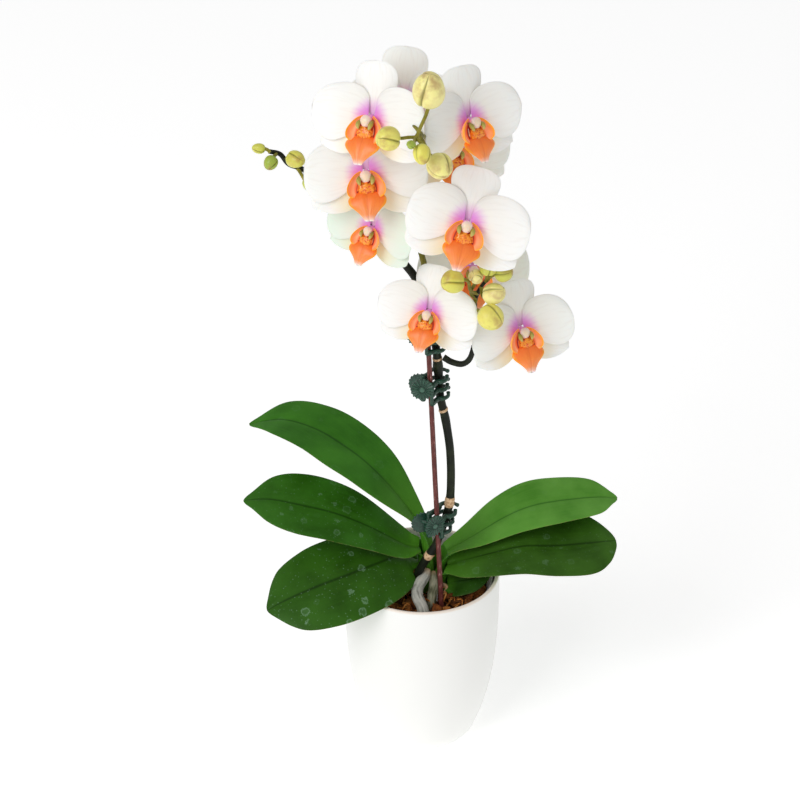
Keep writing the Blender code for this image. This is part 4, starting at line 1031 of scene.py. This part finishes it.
paint(lip_flesh, Base_Color=lip_tone.outputs[0], Normal=lip_bump.outputs[0])
flower_masters["lip"] = (blade("lip", 26, 40, lip_surface, 1.1 * MM, crowd=1.2), lip_flesh, "lip")

# Side lobes: root line and free rim of the right-hand one, as right, forward and up
LOBE_ROOT = [(1.6, 3.0, 0.5), (3.2, 4.0, -2.5), (4.6, 5.5, -6.0), (5.2, 7.5, -9.5), (5.0, 9.0, -11.5)]
LOBE_RIM = [(3.0, 4.5, 2.3), (6.6, 7.0, 0.5), (9.6, 9.3, -3.1), (11.2, 11.0, -6.9), (10.7, 11.6, -10.6),
            (8.0, 11.0, -12.8)]


def lobe_surface(side):
    def surface(along, across):
        reach = 0.5 - 0.5 * across
        root = Vector([share_of([row[n] for row in LOBE_ROOT], along) for n in range(3)])
        rim = Vector([share_of([row[n] for row in LOBE_RIM], along) for n in range(3)])
        spot = root.lerp(rim, reach)
        belly = math.sin(math.pi * reach) * math.sin(math.pi * min(max(along, 0.05), 0.95)) * 2.2
        spot += Vector((0.75, -1.0, -0.2)) * belly
        return Vector((side * spot.x, -spot.y, spot.z)) * MM

    return surface


lobe_flesh = lip_finish("waxy_orange_lobe_flesh_with_painted_glow")
_, lobe_across, _ = blade_places(lobe_flesh)
lobe_tone = add_node(lobe_flesh, "ValToRGB", {"Fac": add_node(
    lobe_flesh, "MapRange", {"Value": lobe_across, "From Min": 1.0, "From Max": -1.0}).outputs[0]},
    stops=[(0.04, "#8E1F33"), (0.94, "#FFA81E"), (0.12, "#EE6A32"), (0.26, "#FFAA7C"), (0.84, "#FFA05C")])
# the lobes glow faintly in their own colour: painted light, standing in for light passing through their flesh
paint(lobe_flesh, Base_Color=lobe_tone.outputs["Color"], Emission_Color=lobe_tone.outputs["Color"],
      Emission_Strength=0.22)
for side, name in ((1, "right_lobe"), (-1, "left_lobe")):
    flower_masters[name] = (blade(name, 24, 36, lobe_surface(side), 0.9 * MM, crowd=1), lobe_flesh, "lip")


# Throat: the crimson hollow behind the horns, between the lobes' roots
def throat_surface(along, across):
    half = 3.6 + 2.2 * along
    return Vector((half * across, -2.6 - 5.4 * along - 0.9 * across * across, 0.2 - 9.2 * along)) * MM


throat_flesh = new_finish("crimson_throat_flesh", Roughness=0.45, Subsurface_Weight=0.2,
                          Subsurface_Scale=1 * MM)
throat_along, _, _ = blade_places(throat_flesh)
throat_tone = add_node(throat_flesh, "ValToRGB", {"Fac": throat_along},
                       stops=[(0.25, "#A8284A"), (0.75, "#F27A2C"), (0.5, "#CC3F2E")])
paint(throat_flesh, Base_Color=throat_tone.outputs["Color"])
flower_masters["throat"] = (blade("throat", 14, 24, throat_surface, 0.8 * MM, crowd=1), throat_flesh, "lip")


# Callus: a cushion of waxy orange warts in ridges, with red freckles
def callus_place(share, around):
    angle, rise = TURN * around, math.pi * (share - 0.5)
    ball = Vector((math.cos(angle) * math.cos(rise), math.sin(angle) * math.cos(rise), math.sin(rise)))
    warts = 0.32 * noise.noise(ball * 2.6 + Vector((3, 0, 0))) + 0.2 * abs(noise.noise(ball * 6))
    ball *= 1 + warts + 0.1 * math.cos(ball.x * 9)
    return Vector((ball.x * 4.5, -8.6 + ball.y * 1.7, -8.0 + ball.z * 3.8)) * MM


wart_flesh = new_finish("warty_orange_callus", Roughness=0.32, Subsurface_Weight=0.3, Subsurface_Scale=1 * MM,
                        Subsurface_Radius=(1.0, 0.4, 0.1), Coat_Weight=0.3)
wart_place = add_node(wart_flesh, "TexCoord").outputs["Object"]
freckles = add_node(wart_flesh, "TexNoise", {"Vector": wart_place, "Scale": 1 / (1.0 * MM), "Detail": 2.0})
wart_tone = add_node(wart_flesh, "ValToRGB", {"Fac": freckles.outputs["Fac"]},
                     stops=[(0.36, "#D9420F"), (0.6, "#FFA42A"), (0.46, "#FB8A1E")])
paint(wart_flesh, Base_Color=wart_tone.outputs["Color"])
flower_masters["callus"] = (rolled("callus", 26, 32, callus_place), wart_flesh, "lip")

# Horns: two olive teeth that hang from the throat beside the callus
horn_flesh = new_finish("olive_horn_flesh", Roughness=0.4, Subsurface_Weight=0.2, Subsurface_Scale=1 * MM)
horn_along, _, _ = blade_places(horn_flesh)
horn_tone = add_node(horn_flesh, "ValToRGB", {"Fac": horn_along},
                     stops=[(0.1, "#8A7A2E"), (0.9, "#C9BE6A"), (0.5, "#AE9F42")])
paint(horn_flesh, Base_Color=horn_tone.outputs["Color"])
for side, name in ((1, "right_horn"), (-1, "left_horn")):
    hang = smooth_route([Vector((side * 3.3, -5.5, -0.6)) * MM, Vector((side * 4.1, -9.8, -2.6)) * MM,
                         Vector((side * 3.4, -10.6, -5.4)) * MM], 14)
    horn = tube(name, hang, lambda along,
                angle: 1.45 * MM * math.sin(math.pi * (0.12 + 0.86 * along)) ** 0.7, 14)
    flower_masters[name] = (horn, horn_flesh, "lip")

STANDS_FOR = {"dorsal_sepal": "_petals", "lip": "_lip"}
for number, (name, row) in enumerate(FLOWERS.items()):
    place, turn, roll, size, tilt, stem, along, heading, green_tint = row
    matrix = Matrix.Translation(from_rim(*place)) @ Matrix.Rotation(math.radians(turn), 4, "Z")
    matrix = matrix @ Matrix.Rotation(math.radians(-tilt), 4, "X") @ Matrix.Rotation(math.radians(roll), 4,
                                                                                     "Y")
    matrix = matrix @ Matrix.Scale(size, 4)
    for part, (master, finish, slot) in flower_masters.items():
        piece = copy_piece(master, f"{name}_{part}", Matrix.Identity(4))
        drift = Vector((number * 5.1, 0, 0))
        for vertex in piece.data.vertices:
            reach = min(1, vertex.co.length / (30 * MM)) ** 2
            vertex.co += noise.noise_vector(vertex.co * 22 + drift) * 2.2 * MM * reach
        piece.data.transform(matrix)
        # each petal piece carries its flower's green tint, partly painted shade
        if slot == "petal":
            tint = piece.data.attributes.new("green_tint", "FLOAT", "POINT")
            tint.data.foreach_set("value", [green_tint] * len(piece.data.vertices))
        settle(piece, finish, slot, *([name + STANDS_FOR[part]] if part in STANDS_FOR else []))


# ---------------------------------------------------------------- flower stalks
# Each flower and bud has its own stalk, a slim olive pedicel that leaves the stem at a swollen joint,
# bows, and thickens a little where it meets the back of the flower.

PEDICEL_RADIUS = 1.15 * MM
# Buds: middle from the rim, length, width, the way the tip points, stem, how far along it, ripeness
BUDS = {
    "bud_top_1": ((2.1, -74, 376.9), 23, 18, (0.0, -0.35, 1.0), "centre", 0.97, 1.0),
    "bud_top_2": ((-21.4, -88, 352.9), 14, 13.5, (-0.9, -0.6, 0.3), "centre", 0.95, 0.6),
    "bud_top_3": ((-1.9, -90, 344.1), 12, 9.6, (0.1, -0.6, -0.8), "centre", 0.98, 0.5),
    "bud_top_4": ((8.6, -80, 331.4), 15.5, 14.5, (0.5, -0.6, -0.3), "centre", 0.88, 0.9),
    "bud_top_5": ((-8.1, -92, 351.1), 6, 5, (-0.3, -0.9, 0.3), "centre", 1.0, 0.0),
    "bud_left_1": ((-97.5, -26.5, 316.6), 8, 6, (-1.0, -0.1, 0.15), "spike", 1.0, 0.3),
    "bud_left_2": ((-90.5, -30.5, 309), 9, 8, (-0.4, -0.6, -0.6), "spike", 0.975, 0.0),
    "bud_left_3": ((-75.5, -30, 311.0), 12, 10, (0.7, -0.6, 0.1), "spike", 0.93, 0.4),
    "bud_left_4": ((-67.5, -29, 292.8), 11, 6.5, (0.6, -0.3, -0.7), "spike", 0.885, 0.2),
    "bud_right_1": ((16.4, -62, 246.6), 14, 13.5, (-0.8, -0.5, 0.1), "right", 0.84, 0.4),
    "bud_right_2": ((37.9, -58, 254.9), 12, 10.5, (0.0, -0.5, 0.9), "right", 0.98, 0.3),
    "bud_right_3": ((47.2, -55, 249), 11.5, 10.5, (0.8, -0.4, 0.4), "right", 1.0, 0.3),
    "bud_right_4": ((41.8, -56, 235.3), 14.5, 12.5, (0.7, -0.4, 0.6), "right", 0.9, 1.0),
    "bud_right_5": ((39.8, -64, 223.4), 16, 15, (0.8, -0.6, -0.2), "right", 0.78, 0.6),
    "bud_right_6": ((30.5, -57, 247.5), 12, 8.5, (-0.2, -0.8, 0.6), "right", 0.8, 1.5),
}


def bezier(a, b, c, d, count):
    shares = [i / (count - 1) for i in range(count)]
    return [a * (1 - t) ** 3 + b * 3 * (1 - t) ** 2 * t + c * 3 * (1 - t) * t * t + d * t ** 3
            for t in shares]


def stalk(name, line, along, heading, end, onward):
    """A pedicel from a place along a stem to an end, which it reaches heading onward."""
    start = line[round(along * (len(line) - 1))]
    reach = (end - start).length * 0.42
    route = bezier(start, start + heading * reach, end - onward * reach, end, 26)

    def skin(share, angle):
        joint = 0.45 * math.exp(-(share / 0.07) ** 2) + 0.2 * math.exp(-((1 - share) / 0.12) ** 2)
        return PEDICEL_RADIUS * (1 + joint) * (0.9 + 0.05 * noise.noise(start * 50 + Vector((share * 6,
                                                                                             angle, 0))))

    settle(tube(name, route, skin, 14), pedicel_skin, "olive_stem")


pedicel_skin = stem_finish("olive_pedicel_skin", "#6C6A24", "#8C8530", "#A79C48", 0.45)
for name, (place, turn, roll, size, tilt, stem, along, heading, green_tint) in FLOWERS.items():
    facing = Matrix.Rotation(math.radians(turn), 3, "Z") @ Matrix.Rotation(math.radians(-tilt), 3, "X")
    back = (facing @ Vector((0, 1, 0))).normalized()
    end = from_rim(*place) + back * HUB_BACK * size * 0.3
    stalk(name + "_stalk", lines[stem], along, Vector(heading).normalized(), end, -back)


# ---------------------------------------------------------------- buds
# Fifteen buds, from pinheads at the branch ends to one about to open. Each is wrapped in its three
# outer sepals, whose seams run from the stalk to the tip; the sun side is flushed brown-pink.

def bud_fold(angle, seed):
    """How far round its sepal a place on the bud is, from the seam at 0 to the next seam at 1."""
    return (angle / TURN * 3 + seed) % 1


def bud_place(length, width, seed):
    def place(share, around):
        angle = TURN * around
        rise = -math.cos(math.pi * share)
        fullness = math.sin(math.pi * share) ** (0.8 + 0.25 * (rise > 0) * rise) * (1 - 0.1 * rise)
        fold = bud_fold(angle, seed)
        seam = 1 - 0.17 * math.exp(-(min(fold, 1 - fold) / 0.05) ** 2)
        overlap = 1 + 0.09 * (fold - 0.5) + 0.05 * math.sin(math.pi * fold)
        radius = width / 2 * fullness * seam * overlap
        twist = 0.25 * rise
        return Vector((radius * math.cos(angle + twist), radius * math.sin(angle + twist), rise * length / 2))

    return place


def bud_finish():
    """Bud skin: thick yellow-green sepals, waxy, with a brown-pink flush on the tip and fine veins."""
    finish = new_finish("waxy_green_bud_skin", Roughness=0.4, IOR=1.42, Subsurface_Weight=0.25,
                        Subsurface_Scale=2 * MM, Subsurface_Radius=(0.8, 1.0, 0.3), Coat_Weight=0.15)
    along, _, around = blade_places(finish)
    place = add_node(finish, "TexCoord").outputs["Object"]
    ripe = add_node(finish, "Attribute", attribute_name="ripe").outputs["Fac"]
    tone = add_node(finish, "ValToRGB", {"Fac": ripe},
                    stops=[(0.0, "#A0B446"), (1.0, "#F5EC9C"), (0.5, "#E6DE64")])
    cloud = add_node(finish, "TexNoise", {"Vector": place, "Scale": 1 / (6 * MM), "Detail": 3.0})
    flush = add_node(finish, "MapRange",
                     {"Value": cloud.outputs["Fac"], "From Min": 0.44, "From Max": 0.64, "To Max": 0.65})
    tip = add_node(finish, "MapRange", {"Value": along, "From Min": 0.25, "From Max": 0.85})
    flush = add_node(finish, "Math", {0: flush.outputs[0], 1: tip.outputs[0]}, operation="MULTIPLY")
    tone = add_node(finish, "MixRGB",
                    {"Fac": flush.outputs[0], "Color1": tone.outputs["Color"], "Color2": "#A9744A"})
    foot = add_node(finish, "MapRange", {"Value": along, "From Min": 0.32, "From Max": 0.02, "To Max": 0.5})
    tone = add_node(finish, "MixRGB",
                    {"Fac": foot.outputs[0], "Color1": tone.outputs[0], "Color2": "#7E9A30"})
    seam = add_node(finish, "Attribute", attribute_name="seam").outputs["Fac"]
    seam_dark = add_node(finish, "Math", {0: seam, 1: 0.75}, operation="MULTIPLY")
    tone = add_node(finish, "MixRGB",
                    {"Fac": seam_dark.outputs[0], "Color1": tone.outputs[0], "Color2": "#6B6A1E"})
    vein_place = add_node(finish, "CombineXYZ", {"X": around, "Y": add_node(
        finish, "Math", {0: along, 1: 0.08}, operation="MULTIPLY").outputs[0]})
    vein = add_node(finish, "TexNoise", {"Vector": vein_place.outputs[0], "Scale": 34.0, "Detail": 2.0})
    bump = add_node(finish, "Bump", {"Height": vein.outputs["Fac"], "Strength": 0.3, "Distance": 0.3 * MM})
    paint(finish, Base_Color=tone.outputs[0], Normal=bump.outputs[0])
    return finish


bud_skin = bud_finish()
for number, (name, (place, length, width, pointing, stem, along, ripe)) in enumerate(BUDS.items()):
    onward = Vector(pointing).normalized()
    middle = from_rim(*place)
    seed = number * 0.37
    bud = rolled(name + "_sepals", 28, 84, bud_place(length * MM, width * MM, seed))
    folds = [bud_fold(math.atan2(v.co.y, v.co.x) - 0.5 * v.co.z / (length * MM),
                      seed) for v in bud.data.vertices]
    seam = bud.data.attributes.new("seam", "FLOAT", "POINT")
    seam.data.foreach_set("value", [math.exp(-(min(fold, 1 - fold) / 0.04) ** 2) for fold in folds])
    turn = Vector((0, 0, 1)).rotation_difference(onward).to_matrix().to_4x4()
    bud.data.transform(Matrix.Translation(middle) @ turn)
    shade = bud.data.attributes.new("ripe", "FLOAT", "POINT")
    shade.data.foreach_set("value", [ripe] * len(bud.data.vertices))
    settle(bud, bud_skin, "bud", name)
    end = middle - onward * length * MM * 0.42
    line = lines[stem]
    stalk(name + "_stalk", line, along, (end - line[-1] + Vector((0, 0, 1 * MM))).normalized(), end, onward)


# ---------------------------------------------------------------- claw clips
# Three daisy clips of dark green polypropylene hold the spike to its stake. Each is two moulded
# halves on one pin: a ribbed daisy to press, and a comb of three stout fingers that hook the stem.

# Clips: rise of the middle finger from the rim, and degrees that the clip turns round the stake
CLIPS = {"clip_lower": (49.5, 35), "clip_middle": (145.5, 0), "clip_upper": (180.5, -25)}
CLIP_BAR = 1.2 * MM
CLIP_RING = 5.56 * MM
FINGER_STEP = 6.2 * MM
DAISY_RADIUS = 7.5 * MM
DAISY_RIBS = 18
FRONT_DAISY = Vector((-5.3, -4.3, 4.6)) * MM
REAR_DAISY = Vector((-6.6, 7.4, 1.5)) * MM
HINGE = Vector((-4.6, 2.6, 0)) * MM

# Moulded polypropylene: deep green and satin, with a fine spark-eroded texture; the raised ribs and
# boss are painted paler, a painted highlight
moulded_pp = new_finish("dark_green_moulded_polypropylene", Roughness=0.36, IOR=1.49)
pp_place = add_node(moulded_pp, "TexCoord").outputs["Object"]
pp_texture = add_node(moulded_pp, "TexNoise", {"Vector": pp_place, "Scale": 1 / (1.2 * MM), "Detail": 4.0})
pp_tone = add_node(moulded_pp, "ValToRGB", {"Fac": pp_texture.outputs["Fac"]},
                   stops=[(0.35, "#102F22"), (0.7, "#24513E"), (0.5, "#183F2F")])
# the raised ribs and boss are mixed to a paler green: a painted highlight
pp_rib_highlight = add_node(moulded_pp, "Attribute", attribute_name="rib_highlight").outputs["Fac"]
pp_tone = add_node(moulded_pp, "MixRGB",
                   {"Fac": pp_rib_highlight, "Color1": pp_tone.outputs["Color"], "Color2": "#4F7A66"})
pp_bump = add_node(moulded_pp, "Bump",
                   {"Height": pp_texture.outputs["Fac"], "Strength": 0.15, "Distance": 0.15 * MM})
paint(moulded_pp, Base_Color=pp_tone.outputs[0], Normal=pp_bump.outputs[0])


def daisy_place(share, around):
    """A plate whose face has a round boss and raised ribs out to a scalloped rim; its back is plain."""
    angle = TURN * around
    rib = max(0, math.cos(angle * DAISY_RIBS)) ** 0.7
    if share < 0.7:
        out = share / 0.7
        boss = 1.1 / (1 + math.exp((out - 0.22) / 0.02))
        relief = 0.75 * rib / (1 + math.exp((0.3 - out) / 0.02))
        face = (0.35 + boss + relief) * MM
    else:
        out = (1 - share) / 0.3
        face = -0.8 * MM
    reach = DAISY_RADIUS * out * (1 - 0.07 * (1 - rib) * out ** 6)
    return Vector((reach * math.cos(angle), reach * math.sin(angle), face))


daisy_master = rolled("daisy", 44, DAISY_RIBS * 8, daisy_place)
# painted highlight: the higher a face of the daisy stands, the paler it is painted, up to 0.45
rib_highlight = daisy_master.data.attributes.new("rib_highlight", "FLOAT", "POINT")
rib_highlight.data.foreach_set("value", [min(0.45, max(0, v.co.z / MM - 0.7)) for v in daisy_master.data.vertices])
for name, (rise, swing) in CLIPS.items():
    height = RIM.z + rise * MM
    hold = Matrix.Rotation(math.radians(swing), 3, "Z")
    stake_spot = stake_point(height)
    hinge, front, rear = (stake_spot + hold @ part for part in (HINGE, FRONT_DAISY, REAR_DAISY))
    web = front + hold @ Vector((DAISY_RADIUS * 0.8, 0.4 * MM, -FRONT_DAISY.z))
    pieces = []
    for foot, low, high, radius in ((hinge, -1.2, 1.75, CLIP_BAR * 1.5), (web, -1.1, 1.1, CLIP_BAR * 0.9)):
        post = [foot + Vector((0, 0, (low + (high - low) * i / 20) * FINGER_STEP)) for i in range(21)]
        pieces.append(tube("post", post, lambda along,
                           angle: radius * (1 - 0.12 * (abs(2 * along - 1) > 0.93)), 20))
    for handle, level in ((front, 0.3), (rear, 0.45)):
        up = Vector((0, 0, level * FINGER_STEP))
        arm = [hinge.lerp(Vector((handle.x, handle.y, hinge.z)), i / 8) + up for i in range(9)]
        pieces.append(tube("arm", arm, lambda along, angle: CLIP_BAR * 1.3, 14))
    for plate, facing in ((front, Vector((0, -1, 0))), (rear, Vector((0.3, 1, 0)).normalized())):
        turn = Vector((0, 0, 1)).rotation_difference(hold @ facing).to_matrix().to_4x4()
        pieces.append(copy_piece(daisy_master, "plate", Matrix.Translation(plate) @ turn))
    for root, arc, room, offset in ((web, (258, 285, 315, 345, 372), 0.95, 0),
                                    (hinge, (185, 145, 100, 55, 15), 1.1, 0.5)):
        for k in (-1, 0, 1):
            level = height + (k + offset) * FINGER_STEP
            spike_spot = min(lines["spike"], key=lambda point: abs(point.z - level))
            bow = [Vector((root.x, root.y, level))]
            for angle in arc:
                out = Matrix.Rotation(math.radians(angle), 3, "Z") @ Vector((CLIP_RING * room, 0, 0))
                bow.append(Vector((spike_spot.x + out.x, spike_spot.y + out.y, level)))
            bow[-1].z += 0.9 * MM
            pieces.append(tube("finger", smooth_route(bow, 32), lambda along, angle: CLIP_BAR * (
                1.45 - 0.6 * along + 0.25 * math.exp(-((1 - along) / 0.06) ** 2)), 14))
    settle(joined(name + "_moulding", pieces), moulded_pp, "clip_plastic", name)
bpy.data.objects.remove(daisy_master)
for master, _, _ in flower_masters.values():
    bpy.data.objects.remove(master)


# ---------------------------------------------------------------- studio
# A pale seamless floor under a bright, even sky, with one large soft light high in front on the left.

CAMERA_TARGET = Vector((-14.3, 0, 250)) * MM
CAMERA_RISE = math.radians(31)
CAMERA_REACH = 1.884
FLOOR_WIDTH = 12
SKY_STRENGTH = 0.53
LIGHT_PLACE = Vector((-1.1, -1.3, 1.5))
LIGHT_WIDTH = 1.1
LIGHT_POWER = 17
scene = bpy.context.scene
scene.view_settings.view_transform = "Standard"
bpy.ops.mesh.primitive_plane_add(size=FLOOR_WIDTH)
floor = bpy.context.object
floor.name = "floor"
paper = new_finish("white_studio_paper", Roughness=0.9, Base_Color="#FFFFFF", Specular_IOR_Level=0.1,
                   Emission_Color="#FFFFFF", Emission_Strength=0.36)
floor.data.materials.append(paper)

world = bpy.data.worlds.new("studio_sky")
world.use_nodes = True
sky = world.node_tree.nodes["Background"].inputs
sky["Color"].default_value = linear("#FFFFFF")
sky["Strength"].default_value = SKY_STRENGTH
scene.world = world
lamp = bpy.data.lights.new("key_light", "AREA")
lamp.shape, lamp.size, lamp.energy = "SQUARE", LIGHT_WIDTH, LIGHT_POWER
key_light = bpy.data.objects.new("key_light", lamp)
key_light.location = LIGHT_PLACE
key_light.rotation_euler = (CAMERA_TARGET - LIGHT_PLACE).to_track_quat("-Z", "Y").to_euler()
scene.collection.objects.link(key_light)

camera = bpy.data.objects.new("camera", bpy.data.cameras.new("camera"))
camera.data.lens = 135
camera.data.sensor_width = 36
camera.data.clip_end = 50
camera.location = CAMERA_TARGET + CAMERA_REACH * Vector((0, -math.cos(CAMERA_RISE), math.sin(CAMERA_RISE)))
camera.rotation_euler = (math.radians(90) - CAMERA_RISE, 0, 0)
scene.collection.objects.link(camera)
scene.camera = camera
